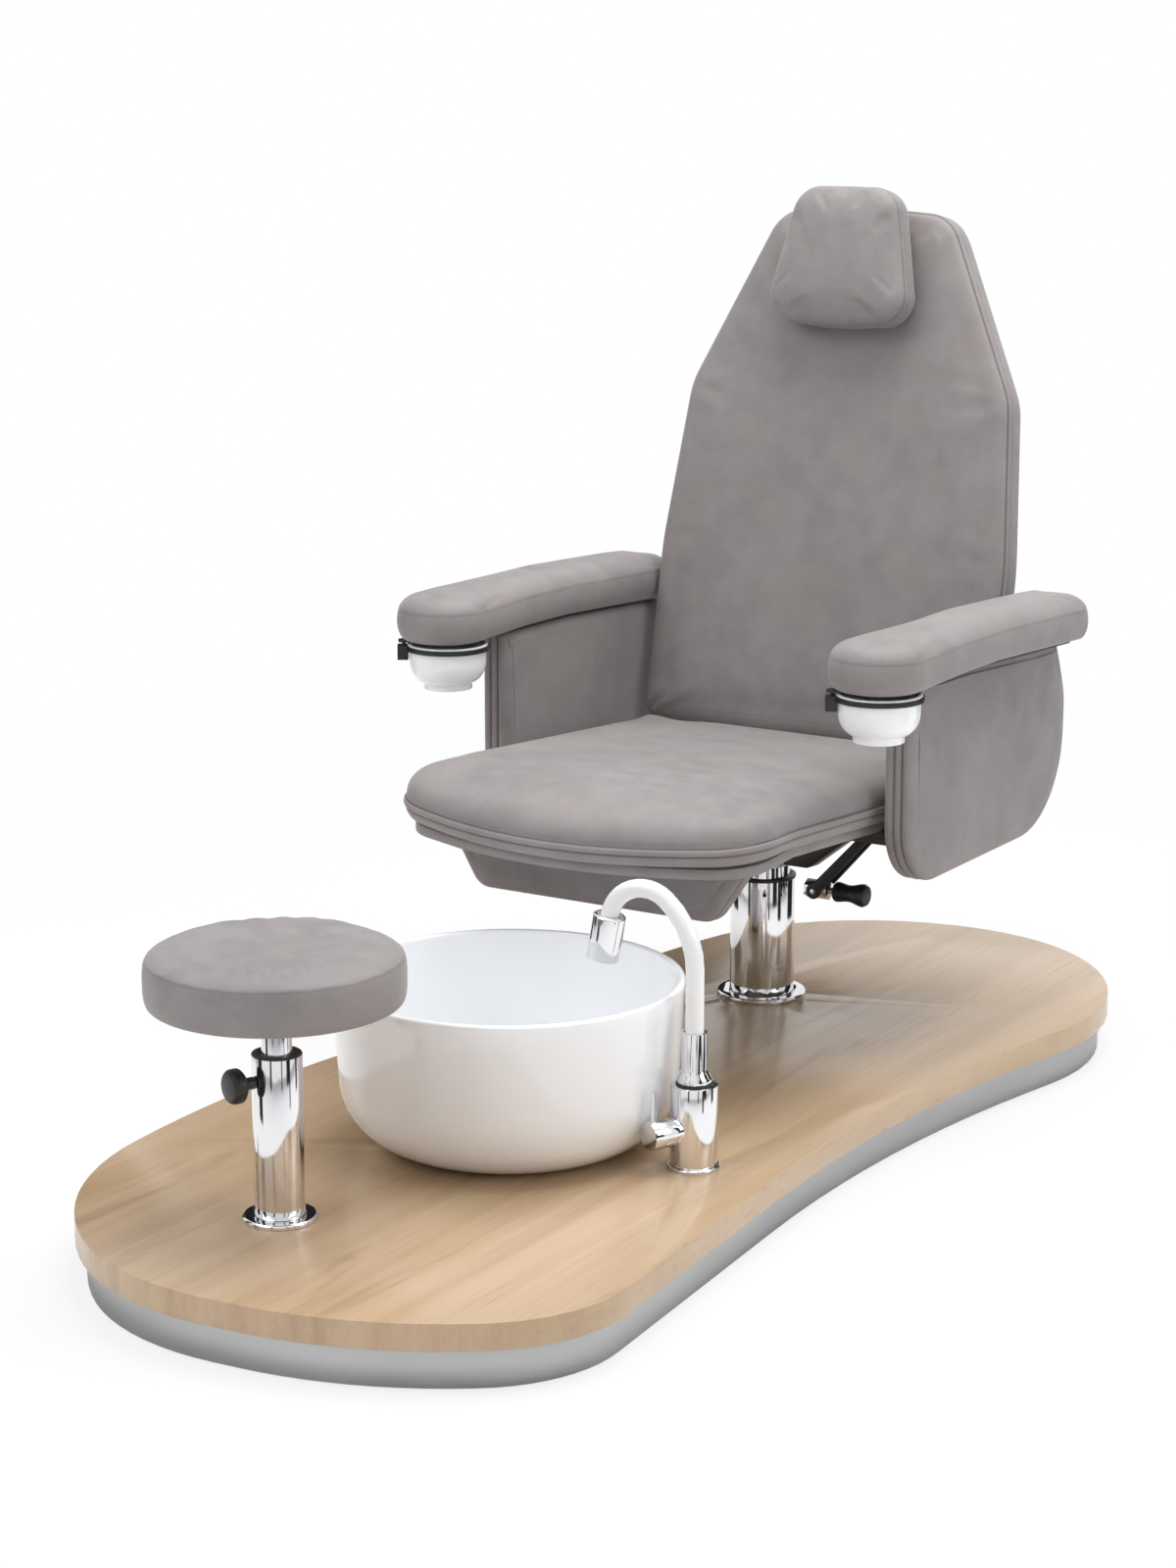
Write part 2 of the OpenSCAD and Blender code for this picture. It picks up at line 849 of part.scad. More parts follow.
module seat_board() {
    top = -welt_band - seat_boxing - seat_gap;
    bottom = -frame_depth;
    profile_y = [seat_rear, -seat_fall_from, -seat_front];
    color(oak_colour)
        on_seat()
            intersection() {
                translate([-seat_w, 0, 0])
                    upright_x()
                        linear_extrude(2 * seat_w)
                            polygon(concat(
                                [for (y = profile_y) [y, top + board_fall(y)]],
                                [for (i = [2:-1:0]) [profile_y[i], bottom + board_fall(profile_y[i])]]
                            ));
                translate([0, 0, bottom - seat_fall - overrun])
                    linear_extrude(seat_board_t + seat_fall + 2 * overrun)
                        polygon(inset(seat_line, board_inset));
            }
}
module frame_bars() {
    on_seat()
        translate([0, 0, -frame_depth - rail_h]) {
            for (side = [-1, 1])
                translate([side * rail_spacing / 2 - rail_w / 2, 0, 0]) {
                    translate([0, -rail_front, 0]) cube([rail_w, rail_front + rail_rear, rail_h]);
                    translate([0, -apron_y + apron_t, 0])
                        cube([rail_w, apron_y - apron_t, rail_h - rail_nose_drop]);
                }
            for (y = [-cross_front, cross_rear])
                translate([-panel_gap / 2, y - cross_w / 2, 0])
                    cube([panel_gap, cross_w, rail_h]);
        }
}
module seat_frame() {
    color(black_colour)
        union() frame_bars();
}
module apron() {
    top = -frame_depth + board_fall(-apron_y) - 2 * seat_gap;
    corners = [
        [apron_w / 2, top], [-apron_w / 2, top],
        [-apron_bottom_w / 2, top - apron_h], [apron_bottom_w / 2, top - apron_h]
    ];
    line = divided(
        rounded(
            corners, [apron_top_r, apron_top_r, apron_corner_r, apron_corner_r], cushion_steps
        ),
        2 * cushion_grain
    );
    color(leather_colour)
        on_seat()
            translate([0, -apron_y + apron_t, 0])
                rotate([90, 0, 0])
                    padded(
                        line, [0, top - apron_h / 2],
                        [
                            [0.38 * apron_roll, 1, 0], [seam_dent, 1, seam_half], [0, 1, 3 * seam_half],
                            [0, 1, 0.45 * apron_t], [seam_half, 1, 0.48 * apron_t],
                            [-welt_swell, 1, 0.52 * apron_t], [-welt_swell, 1, 0.67 * apron_t],
                            [seam_half, 1, 0.71 * apron_t], [welt_swell, 1, 0.78 * apron_t],
                            [0.19 * apron_roll, 1, 0.9 * apron_t],
                            [0.54 * apron_roll, 1, 0.98 * apron_t], [apron_roll, 1, apron_t]
                        ],
                        0, apron_t
                    );
}

// Side panels and armrests. The rear part of an armrest slopes down.
function arm_slope(y) = -arm_rear_drop * max(0, y + arm_crest) / (arm_rear + arm_crest);
function panel_top(y) = arm_z - plate_t - panel_swell - seat_gap + arm_slope(y);
module side_panel() {
    front = -panel_front;
    rear = panel_rear;
    neck = rear - panel_neck;
    corners = [
        [front, panel_top(front)], [front, panel_z], [rear, panel_z],
        [rear, panel_top(neck) - panel_shoulder], [neck, panel_top(neck)]
    ];
    arcs = concat(
        corner_arc(corners[0], corners[1], corners[2], panel_front_r, cushion_steps),
        corner_arc(corners[1], corners[2], corners[3], panel_rear_r, cushion_steps),
        corner_arc(corners[2], corners[3], corners[4], panel_shoulder_r, 3)
    );
    top_edge = [for (y = [neck, -arm_crest, front]) [y, panel_top(y)]];
    line = divided(concat(arcs, top_edge), 2 * cushion_grain);
    color(leather_colour)
        translate([panel_gap / 2, 0, 0])
            upright_x()
                padded(
                    line, [(front + rear) / 2, (panel_z + arm_z) / 2],
                    [
                        [panel_roll, 1, 0], [0.36 * panel_roll, 1, seam_half],
                        [0.09 * panel_roll, 1, 0.14 * panel_t], [0, 1, 0.3 * panel_t],
                        [seam_half, 1, 0.38 * panel_t], [-panel_swell, 1, 0.42 * panel_t],
                        [-panel_swell, 1, 0.62 * panel_t], [seam_half, 1, 0.66 * panel_t],
                        [0, 1, 0.74 * panel_t], [0.09 * panel_roll, 1, 0.88 * panel_t],
                        [0.36 * panel_roll, 1, panel_t - seam_half], [panel_roll, 1, panel_t]
                    ],
                    0, panel_t
                );
}
module side_panel_right() {
    side_panel();
}
module side_panel_left() {
    mirror([1, 0, 0]) side_panel();
}
module armrest_plate() {
    arm_x = arm_spacing / 2;
    profile_y = [arm_rear, -arm_crest, -arm_reach - plate_front_d];
    color(black_colour)
        intersection() {
            translate([arm_x - arm_w, 0, arm_z])
                upright_x()
                    linear_extrude(2 * arm_w)
                        polygon(concat(
                            [for (y = profile_y) [y, arm_slope(y)]],
                            [for (i = [2:-1:0]) [profile_y[i], arm_slope(profile_y[i]) - plate_t]]
                        ));
            union() {
                translate([arm_x - plate_shift, -arm_reach, arm_z - 2 * arm_rear_drop - plate_t])
                    cylinder(d = plate_front_d, h = 4 * arm_rear_drop + 2 * plate_t);
                translate([arm_x - plate_w / 2, -arm_reach, arm_z - 2 * arm_rear_drop - plate_t])
                    cube([
                        plate_w, arm_rear - plate_rear_inset + arm_reach,
                        4 * arm_rear_drop + 2 * plate_t
                    ]);
            }
        }
}
module pivot_hole(side) {
    translate([
        side * (arm_spacing / 2 - plate_shift) + pivot_r * cos(pivot_a),
        -arm_reach + pivot_r * sin(pivot_a), arm_z - plate_t - overrun
    ])
        cylinder(d = pivot_pin_d + 2 * slide_fit, h = plate_t + 2 * overrun, $fn = 48);
}
module pivot_ear(side) {
    translate([side * (arm_spacing / 2 - plate_shift), -arm_reach, arm_z - plate_t])
        rotate(pivot_a) {
            translate([pivot_r, 0, 0]) cylinder(d = pivot_ear_d, h = plate_t, $fn = 48);
            translate([pivot_r - 1.5 * pivot_ear_d, -pivot_ear_d / 2, 0])
                cube([1.5 * pivot_ear_d, pivot_ear_d, plate_t]);
        }
}
module armrest_plate_right() {
    color(black_colour)
        difference() {
            union() {
                armrest_plate();
                pivot_ear(1);
            }
            pivot_hole(1);
        }
}
module armrest_plate_left() {
    color(black_colour)
        difference() {
            union() {
                mirror([1, 0, 0]) armrest_plate();
                pivot_ear(-1);
            }
            pivot_hole(-1);
        }
}
module armrest() {
    arm_x = arm_spacing / 2;
    half = arm_w / 2;
    bulb = arm_front_d / 2;
    corners = [
        [arm_x + half, arm_rear], [arm_x - half, arm_rear], [arm_x - half, -arm_neck],
        [arm_x - plate_shift - bulb, -arm_reach - bulb],
        [arm_x - plate_shift + bulb, -arm_reach - bulb],
        [arm_x + half, -arm_neck]
    ];
    radii = [arm_rear_r, arm_rear_r, -arm_neck_r, 0.92 * bulb, 0.92 * bulb, -arm_neck_r];
    line = crossed(divided(rounded(corners, radii, cushion_steps), cushion_grain), -arm_crest);
    color(leather_colour)
        translate([0, 0, arm_z + seat_gap])
            padded(
                line, [arm_x, -arm_crest],
                [
                    [0.32 * arm_roll, 1, 0], [0.12 * arm_roll, 1, 2 * seam_half],
                    [welt_swell, 1, 0.28 * arm_seam_h], [-welt_swell, 1, 0.6 * arm_seam_h],
                    [0, 1, 0.9 * arm_seam_h], [seam_half, 1, arm_seam_h],
                    [welt_swell, 1, arm_seam_h + seam_dent],
                    [0.14 * arm_roll, 1, arm_seam_h + 0.5 * arm_crown],
                    [0.36 * arm_roll, 1, arm_seam_h + 0.8 * arm_crown],
                    [0.68 * arm_roll, 1, arm_seam_h + 0.95 * arm_crown],
                    [arm_roll, 1, arm_seam_h + arm_crown]
                ],
                0, arm_seam_h + arm_crown, function(p) arm_slope(p.y)
            );
}
module armrest_right() {
    armrest();
}
module armrest_left() {
    mirror([1, 0, 0]) armrest();
}

// Backrest, in its own directions: x across, y up along the back, z forwards
module recline_brackets() {
    plate_x = hinge_arm_x + hinge_arm_t + bracket_gap;
    foot_front = cross_rear - cross_w / 2;
    foot_rear = cross_rear + cross_w;
    foot_z = seat_z - frame_depth - foot_front * tan(seat_rake);
    color(black_colour)
        difference() {
            for (side = [0, 1])
                mirror([side, 0, 0]) {
                    translate([plate_x, 0, 0])
                        upright_x()
                            linear_extrude(bracket_t) {
                                polygon([
                                    [foot_front, foot_z - rail_h / 2],
                                    [foot_front, foot_z + welt_band],
                                    [seat_rear + bracket_gap, foot_z + welt_band / 2],
                                    [hinge_y - hinge_eye_d / 2, hinge_z],
                                    [hinge_y + hinge_eye_d / 2, hinge_z],
                                    [hinge_y, foot_z - rail_h / 2],
                                    [foot_rear, foot_z - rail_h]
                                ]);
                                translate([hinge_y, hinge_z]) circle(d = hinge_eye_d);
                            }
                    translate([hinge_arm_x - bracket_gap, hinge_y, hinge_z])
                        rotate([0, 90, 0])
                            cylinder(
                                d = hinge_pin_d, h = hinge_arm_t + 2 * bracket_gap + bracket_t
                            );
                }
            frame_bars();
        }
}
module back_hinge_arms() {
    color(black_colour)
        on_back()
            for (side = [0, 1])
                mirror([side, 0, 0])
                    difference() {
                        union() {
                            translate([hinge_arm_x, 0, 0])
                                rotate([0, 90, 0]) cylinder(d = hinge_eye_d, h = hinge_arm_t);
                            translate([
                                hinge_arm_x, -hinge_arm_depth / 2,
                                back_board_d - back_board_t - hinge_arm_depth
                            ])
                                cube([hinge_arm_t, hinge_arm_l, hinge_arm_depth]);
                        }
                        translate([hinge_arm_x - overrun, 0, 0])
                            rotate([0, 90, 0])
                                cylinder(
                                    d = hinge_pin_d + 2 * slide_fit, h = hinge_arm_t + 2 * overrun
                                );
                    }
}
back_corners = [
    [back_w / 2, back_bottom], [back_w / 2, back_waist_l], [shoulder_w / 2, shoulder_l],
    [back_top_w / 2, back_l - 1.5 * back_top_rise], [0, back_l + back_top_rise],
    [-back_top_w / 2, back_l - 1.5 * back_top_rise],
    [-shoulder_w / 2, shoulder_l], [-back_w / 2, back_waist_l], [-back_w / 2, back_bottom]
];
back_line = divided(
    rounded(
        back_corners,
        [
            back_bottom_r, back_w, back_shoulder_r, back_top_r, back_w, back_top_r,
            back_shoulder_r, back_w, back_bottom_r
        ],
        4
    ),
    2 * cushion_grain
);
module backrest_board() {
    color(leather_colour)
        on_back()
            translate([0, 0, back_board_d - back_board_t])
                linear_extrude(back_board_t)
                    polygon(inset(back_line, back_board_inset));
}
module backrest_cushion() {
    rear = back_board_d + seat_gap;
    band = back_seam_d - welt_band;
    color(leather_colour)
        on_back()
            padded(
                back_line, [0, 0.5 * back_l],
                [
                    [0.18 * back_roll, 1, rear], [welt_swell, 1, rear + 2 * seam_half],
                    [0, 1, rear + 6 * seam_half], [0, 1, band - seam_dent], [seam_dent, 1, band],
                    [-welt_swell / 2, 1, band + seam_half],
                    [-welt_swell / 2, 1, back_seam_d - seam_half], [seam_dent, 1, back_seam_d],
                    [welt_swell, 1, back_seam_d + seam_dent],
                    [0.15 * back_roll, 1, back_seam_d + 0.5 * back_crown],
                    [0.44 * back_roll, 1, back_seam_d + 0.82 * back_crown],
                    [back_roll, 1, back_seam_d + 0.96 * back_crown],
                    [back_roll, 0.5, back_seam_d + back_crown]
                ],
                rear, back_seam_d + back_crown
            );
}

// Headrest
bar_d = back_board_d - back_board_t - bar_behind - bar_t;
module headrest_guide() {
    color(black_colour)
        on_back()
            translate([0, guide_low, 0])
                difference() {
                    translate([
                        -bar_w / 2 - guide_wall, 0, bar_d - guide_wall
                    ])
                        cube([
                            bar_w + 2 * guide_wall, guide_h,
                            bar_behind + bar_t + guide_wall
                        ]);
                    translate([-bar_w / 2 - seat_gap, -overrun, bar_d - seat_gap])
                        cube([bar_w + 2 * seat_gap, guide_h + 2 * overrun, bar_t + 2 * seat_gap]);
                }
}
module headrest_bracket() {
    front = pillow_rear_d - back_plate_t;
    color(steel_colour)
        on_back()
            union() {
                translate([-bar_w / 2, bar_low, bar_d])
                    cube([bar_w, bar_top - bar_low, bar_t]);
                translate([-bar_w / 2, bar_top - bar_t, bar_d])
                    cube([bar_w, bar_t, front + back_plate_t - bar_d]);
                translate([-bar_w / 2, back_plate_low, front])
                    cube([bar_w, bar_top - back_plate_low, back_plate_t]);
                translate([-back_plate_w / 2, back_plate_low, front])
                    cube([back_plate_w, bar_w, back_plate_t]);
            }
}
module headrest_pillow() {
    rear = pillow_rear_d + seat_gap;
    seam = rear + pillow_seam_d;
    top = pillow_bottom + pillow_h;
    line = divided(
        rounded(
            [
                [pillow_w / 2, pillow_bottom + pillow_bow], [pillow_top_w / 2, top],
                [-pillow_top_w / 2, top], [-pillow_w / 2, pillow_bottom + pillow_bow],
                [0, pillow_bottom - 1.5 * pillow_bow]
            ],
            [pillow_bottom_r, pillow_top_r, pillow_top_r, pillow_bottom_r, 2 * pillow_w],
            cushion_steps
        ),
        cushion_grain
    );
    color(leather_colour)
        on_back()
            padded(
                line, [0, pillow_bottom + 0.48 * pillow_h],
                [
                    [0.8 * pillow_roll, 1, rear], [0.25 * pillow_roll, 1, rear + 2 * seam_half],
                    [0, 1, rear + 7 * seam_half], [0, 1, seam - welt_band - seam_dent],
                    [seam_half, 1, seam - welt_band],
                    [-welt_swell / 2, 1, seam - welt_band + seam_half],
                    [-welt_swell / 2, 1, seam - seam_half], [seam_half, 1, seam],
                    [welt_swell, 1, seam + 2 * seam_half],
                    [0.35 * pillow_roll, 1, seam + 0.5 * pillow_crown],
                    [pillow_roll, 1, seam + 0.8 * pillow_crown],
                    [pillow_roll, 0.66, seam + 0.95 * pillow_crown],
                    [pillow_roll, 0.3, seam + pillow_crown]
                ],
                rear, seam + pillow_crown
            );
}

// Nail bowls and their swinging rings
module at_bowl(side) {
    translate([side * (arm_spacing / 2 - plate_shift), -arm_reach, 0]) children();
}
module bowl_ring(side) {
    color(black_colour)
        at_bowl(side) {
            translate([0, 0, ring_z])
                rotate_extrude($fn = 96)
                    translate([ring_inner_d / 2, 0]) square([ring_bar, ring_h]);
            rotate(pivot_a)
                translate([pivot_r, 0, 0]) {
                    translate([
                        pivot_offset - pivot_block / 2, -pivot_block / 2,
                        ring_z + ring_h - pivot_block_h
                    ])
                        cube([pivot_block - pivot_offset, pivot_block, pivot_block_h]);
                    translate([0, 0, ring_z])
                        cylinder(d = pivot_pin_d, h = arm_z - ring_z, $fn = 48);
                }
        }
}
module bowl_ring_left() {
    bowl_ring(-1);
}
module bowl_ring_right() {
    bowl_ring(1);
}
module nail_bowl(side) {
    body = bowl_body_d / 2;
    low = bowl_lip_z - bowl_h;
    round_z = bowl_lip_z - bowl_lip_h - bowl_straight;
    outer = [for (i = [0:10])
        let (a = bowl_round_a * (1 - i / 10))
        [body * pow(cos(a), bowl_fullness_share),
            round_z - bowl_round_h * pow(sin(a), bowl_fullness_share)]];
    inner = [for (i = [0:10])
        let (a = bowl_round_a * i / 10)
        [(body - bowl_wall) * pow(cos(a), bowl_fullness_share),
            round_z - (bowl_round_h - bowl_wall) * pow(sin(a), bowl_fullness_share)]];
    foot_top = outer[0].y;
    color(white_colour)
        at_bowl(side)
            rotate_extrude($fn = 96)
                polygon(concat(
                    [[0, foot_top], [bowl_foot_d / 2 - bowl_wall, foot_top - bowl_edge]],
                    [[bowl_foot_d / 2 - bowl_wall, low], [bowl_foot_d / 2, low]],
                    [[bowl_foot_d / 2, low + bowl_foot_h]],
                    [for (p = outer) if (p.x > bowl_foot_d / 2 && p.y > low + bowl_foot_h) p],
                    [[body, bowl_lip_z - bowl_lip_h], [bowl_d / 2, bowl_lip_z - bowl_lip_h]],
                    [[bowl_d / 2, bowl_lip_z - bowl_edge], [bowl_d / 2 - bowl_edge, bowl_lip_z]],
                    [[body - bowl_wall + bowl_edge, bowl_lip_z]],
                    [[body - bowl_wall, bowl_lip_z - bowl_edge]],
                    inner,
                    [[0, inner[10].y]]
                ));
}
module nail_bowl_left() {
    nail_bowl(-1);
}
module nail_bowl_right() {
    nail_bowl(1);
}

// Foot basin with its waste and plug
module at_basin() {
    translate([basin_x, basin_y, board_top]) children();
}
module basin() {
    rim = basin_d / 2;
    corner = basin_corner_r;
    lean = tan(basin_lean);
    wall_low = rim - (basin_h - corner) * lean;
    centre_x = wall_low - corner * cos(basin_lean);
    inner_r = corner - basin_wall;
    outer_arc = [for (i = [0:14])
        let (a = -90 + (90 - basin_lean) * i / 14)
        [centre_x + corner * cos(a), corner + corner * sin(a)]];
    inner_arc = [for (i = [14:-1:0])
        let (a = -90 + (90 - basin_lean) * i / 14)
        [centre_x + inner_r * cos(a), corner + inner_r * sin(a)]];
    lip = [for (i = [0:8])
        let (a = 180 * i / 8)
        [rim - basin_wall / 2 + basin_wall / 2 * cos(a),
            basin_h - basin_wall / 2 + basin_wall / 2 * sin(a)]];
    color(white_colour)
        at_basin()
            rotate_extrude($fn = 160)
                polygon(concat(
                    [[waste_pipe_d / 2 + seat_gap, 0]],
                    outer_arc, lip, inner_arc,
                    [[waste_pipe_d / 2 + seat_gap, basin_wall]]
                ));
}
module basin_waste() {
    color(chrome_colour)
        at_basin()
            difference() {
                union() {
                    translate([0, 0, basin_wall]) cylinder(d = waste_d, h = waste_t);
                    translate([0, 0, basin_wall + waste_t - waste_l])
                        cylinder(d = waste_pipe_d, h = waste_l);
                }
                translate([0, 0, basin_wall + waste_t - waste_l / 2 + waste_web_t])
                    cylinder(d = waste_bore_d, h = waste_l);
                translate([0, 0, basin_wall + waste_t - 1.5 * waste_l])
                    cylinder(d = waste_bore_d, h = waste_l);
                translate([0, 0, -waste_l])
                    cylinder(d = plug_stem_d + 2 * slide_fit, h = 2 * waste_l);
                for (i = [0:3])
                    rotate(45 + 90 * i)
                        translate([0.28 * waste_bore_d, 0, -waste_l])
                            cylinder(d = waste_bore_d / 4, h = 2 * waste_l, $fn = 24);
            }
}
module basin_plug() {
    color(chrome_colour)
        at_basin()
            translate([0, 0, basin_wall + waste_t + seat_gap]) {
                rotate_extrude($fn = 64)
                    polygon([
                        [0, 0], [plug_d / 2, 0], [plug_d / 2, plug_t / 2],
                        [plug_d / 2 - plug_t, plug_t], [0, 1.25 * plug_t]
                    ]);
                translate([0, 0, -plug_stem_l])
                    cylinder(d = plug_stem_d, h = plug_stem_l + plug_t / 4, $fn = 48);
            }
}

// Tap
module at_tap() {
    translate([tap_x, tap_y, board_top]) children();
}
module tap_flange() {
    edge = 1.5;
    color(chrome_colour)
        at_tap()
            rotate_extrude($fn = 96)
                polygon([
                    [tap_d / 2 + seat_gap, 0], [tap_flange_d / 2, 0],
                    [tap_flange_d / 2, tap_flange_h - edge],
                    [tap_flange_d / 2 - edge, tap_flange_h], [tap_d / 2 + seat_gap, tap_flange_h]
                ]);
}
module tap_body() {
    color(chrome_colour)
        at_tap()
            difference() {
                union() {
                    cylinder(d = tap_d, h = tap_h);
                    translate([0, 0, -tap_shank_l]) cylinder(d = tap_shank_d, h = tap_shank_l);
                    translate([0, 0, barrel_z])
                        rotate(barrel_a)
                            rotate([0, 90, 0]) {
                                cylinder(d = barrel_boss_d, h = barrel_in - seat_gap);
                                cylinder(d = barrel_stub_d, h = barrel_stub_end);
                            }
                }
                translate([0, 0, tap_h - spout_spigot_l - overrun])
                    cylinder(d = spout_spigot_d + 2 * slide_fit, h = spout_spigot_l + 2 * overrun);
            }
}
module tap_seal() {
    color(black_colour)
        at_tap()
            translate([0, 0, tap_h])
                difference() {
                    cylinder(d = seal_d, h = seal_t);
                    translate([0, 0, -overrun])
                        cylinder(d = spout_spigot_d + 2 * seat_gap, h = seal_t + 2 * overrun);
                }
}
module tap_lever() {
    color(chrome_colour)
        at_tap()
            translate([0, 0, barrel_z])
                rotate(barrel_a)
                    difference() {
                        union() {
                            translate([barrel_in, 0, 0])
                                rotate([0, 90, 0]) cylinder(d = barrel_d, h = barrel_out - barrel_in);
                            translate([barrel_out - pin_in, 0, barrel_stub_d / 2 + pin_d / 4])
                                cylinder(d = pin_d, h = pin_l - barrel_stub_d / 2 - pin_d / 4, $fn = 48);
                        }
                        rotate([0, 90, 0])
                            cylinder(
                                d = barrel_stub_d + 2 * slide_fit, h = barrel_stub_end + seat_gap
                            );
                    }
}
module spout_collar() {
    bottom = tap_h + seal_t + slide_fit;
    color(chrome_colour)
        at_tap()
            difference() {
                union() {
                    translate([0, 0, bottom])
                        rotate_extrude($fn = 96)
                            polygon([
                                [0, 0], [collar_d / 2, 0], [collar_d / 2, collar_lip],
                                [sleeve_d / 2, collar_lip + collar_cone],
                                [sleeve_d / 2, collar_lip + collar_cone + sleeve_h],
                                [0, collar_lip + collar_cone + sleeve_h]
                            ]);
                    translate([0, 0, bottom - spout_spigot_l])
                        cylinder(d = spout_spigot_d, h = spout_spigot_l);
                }
                translate([0, 0, bottom + collar_lip + collar_cone])
                    cylinder(d = hose_d, h = sleeve_h + overrun);
            }
}
sleeve_foot = tap_h + seal_t + slide_fit + collar_lip + collar_cone;
hose_turn = sleeve_foot + sleeve_h + hose_rise;
bend_x = sweep_r * (1 - cos(sweep_a)) + bend_r * cos(sweep_a);
bend_z = hose_turn + sweep_r * sin(sweep_a) - bend_r * sin(sweep_a);
function hose_ring(x, z, lean) = [for (k = [0:hose_sides - 1])
    let (t = 360 * k / hose_sides, r = hose_d / 2)
    [x + r * cos(t) * cos(lean), r * sin(t), z - r * cos(t) * sin(lean)]];
function hose_bend_ring(lean) = hose_ring(
    bend_x - bend_r * cos(lean), bend_z + bend_r * sin(lean), lean
);
module at_hose_end() {
    translate([bend_x, 0, bend_z])
        rotate([0, sweep_a + bend_a, 0])
            translate([-bend_r, 0, 0]) children();
}
module spout_hose() {
    last = sweep_a + bend_a;
    rings = concat(
        [hose_ring(0, sleeve_foot, 0), hose_ring(0, hose_turn, 0)],
        [for (i = [1:hose_sweep_steps])
            let (t = sweep_a * i / hose_sweep_steps)
            hose_ring(sweep_r * (1 - cos(t)), hose_turn + sweep_r * sin(t), t)],
        [for (i = [1:hose_bend_steps]) hose_bend_ring(sweep_a + bend_a * i / hose_bend_steps)],
        [hose_ring(
            bend_x - bend_r * cos(last) + hose_in_head * sin(last),
            bend_z + bend_r * sin(last) + hose_in_head * cos(last), last
        )]
    );
    n = hose_sides;
    top = n * (len(rings) - 1);
    sides = [for (i = [0:len(rings) - 2], k = [0:n - 1], half = [0:1])
        let (a = n * i + k, b = n * i + (k + 1) % n)
        half == 0 ? [a, a + n, b + n] : [a, b + n, b]];
    color(white_colour)
        at_tap()
            rotate(spout_a)
                polyhedron(
                    [for (r = rings, p = r) p],
                    concat(
                        sides,
                        [for (k = [1:n - 2]) [0, k, k + 1]],
                        [for (k = [1:n - 2]) [top, top + k + 1, top + k]]
                    )
                );
}
module spray_head() {
    edge = 2;
    color(chrome_colour)
        at_tap()
            rotate(spout_a)
                at_hose_end()
                    difference() {
                        rotate_extrude($fn = 96)
                            polygon([
                                [0, 0], [spray_d / 2 - edge, 0], [spray_d / 2, edge],
                                [spray_d / 2, spray_l - edge], [spray_d / 2 - edge, spray_l],
                                [0, spray_l]
                            ]);
                        translate([0, 0, -overrun]) cylinder(d = hose_d, h = hose_in_head + overrun);
                        translate([0, 0, hose_in_head + spray_wall])
                            cylinder(d = spray_d - 2 * spray_wall, h = spray_l);
                    }
}
module spray_face() {
    color(black_colour)
        at_tap()
            rotate(spout_a)
                at_hose_end()
                    translate([0, 0, spray_l - 1.25 * spray_face_t])
                        cylinder(d = spray_d - 2 * spray_wall, h = spray_face_t);
}

// Foot stool
module at_stool() {
    translate([stool_x, stool_y, 0]) children();
}
module stool_flange() {
    edge = 2;
    color(chrome_colour)
        at_stool()
            translate([0, 0, board_top])
                rotate_extrude($fn = 96)
                    polygon([
                        [post_d / 2 + seat_gap, 0], [stool_flange_d / 2, 0],
                        [stool_flange_d / 2, stool_flange_h - edge],
                        [stool_flange_d / 2 - edge, stool_flange_h],
                        [post_d / 2 + seat_gap, stool_flange_h]
                    ]);
}
module clamp_bore(d) {
    translate([0, 0, board_top + clamp_z])
        rotate(clamp_a)
            rotate([0, 90, 0]) cylinder(d = d, h = post_d, $fn = 48);
}
module stool_post() {
    color(chrome_colour)
        at_stool()
            difference() {
                translate([0, 0, board_top]) cylinder(d = post_d, h = post_h);
                translate([0, 0, board_top + 2 * post_wall])
                    cylinder(d = post_d - 2 * post_wall, h = post_h);
                clamp_bore(screw_d + 2 * slide_fit);
            }
}
module stool_guide_bush() {
    color(black_colour)
        at_stool()
            difference() {
                translate([0, 0, board_top + post_h - bush_h])
                    rotate_extrude($fn = 96)
                        polygon([
                            [stem_d / 2 + slide_fit, 0], [post_d / 2 - post_wall, 0],
                            [post_d / 2 - post_wall, bush_h], [post_d / 2 - post_wall / 4, bush_h],
                            [post_d / 2 - post_wall / 4, bush_h + bush_lip_h],
                            [stem_d / 2 + slide_fit, bush_h + bush_lip_h]
                        ]);
                clamp_bore(screw_d + 2 * slide_fit);
            }
}
module stool_knob() {
    tip = stem_d / 2 + seat_gap;
    color(black_colour)
        at_stool()
            translate([0, 0, board_top + clamp_z])
                rotate(clamp_a)
                    rotate([0, 90, 0]) {
                        translate([0, 0, tip]) cylinder(d = screw_d, h = clamp_neck_end - tip, $fn = 48);
                        translate([0, 0, post_d / 2 + post_wall / 4])
                            cylinder(d = clamp_neck_d, h = clamp_neck_end - post_d / 2, $fn = 48);
                        translate([0, 0, clamp_neck_end])
                            rotate_extrude($fn = 64)
                                polygon([
                                    [0, 0], [0.37 * clamp_knob_d, 0],
                                    [clamp_knob_d / 2, 0.23 * clamp_knob_l],
                                    [clamp_knob_d / 2, 0.73 * clamp_knob_l],
                                    [0.41 * clamp_knob_d, 0.95 * clamp_knob_l], [0, clamp_knob_l]
                                ]);
                    }
}
module stool_stem() {
    color(chrome_colour)
        at_stool()
            difference() {
                translate([0, 0, stem_bottom]) cylinder(d = stem_d, h = stem_top - stem_bottom);
                translate([0, 0, stem_bottom - overrun])
                    cylinder(d = stem_d - 2 * stem_wall, h = stem_top - stem_bottom - stem_wall);
            }
}
stool_low = stem_top + stool_plate_t;
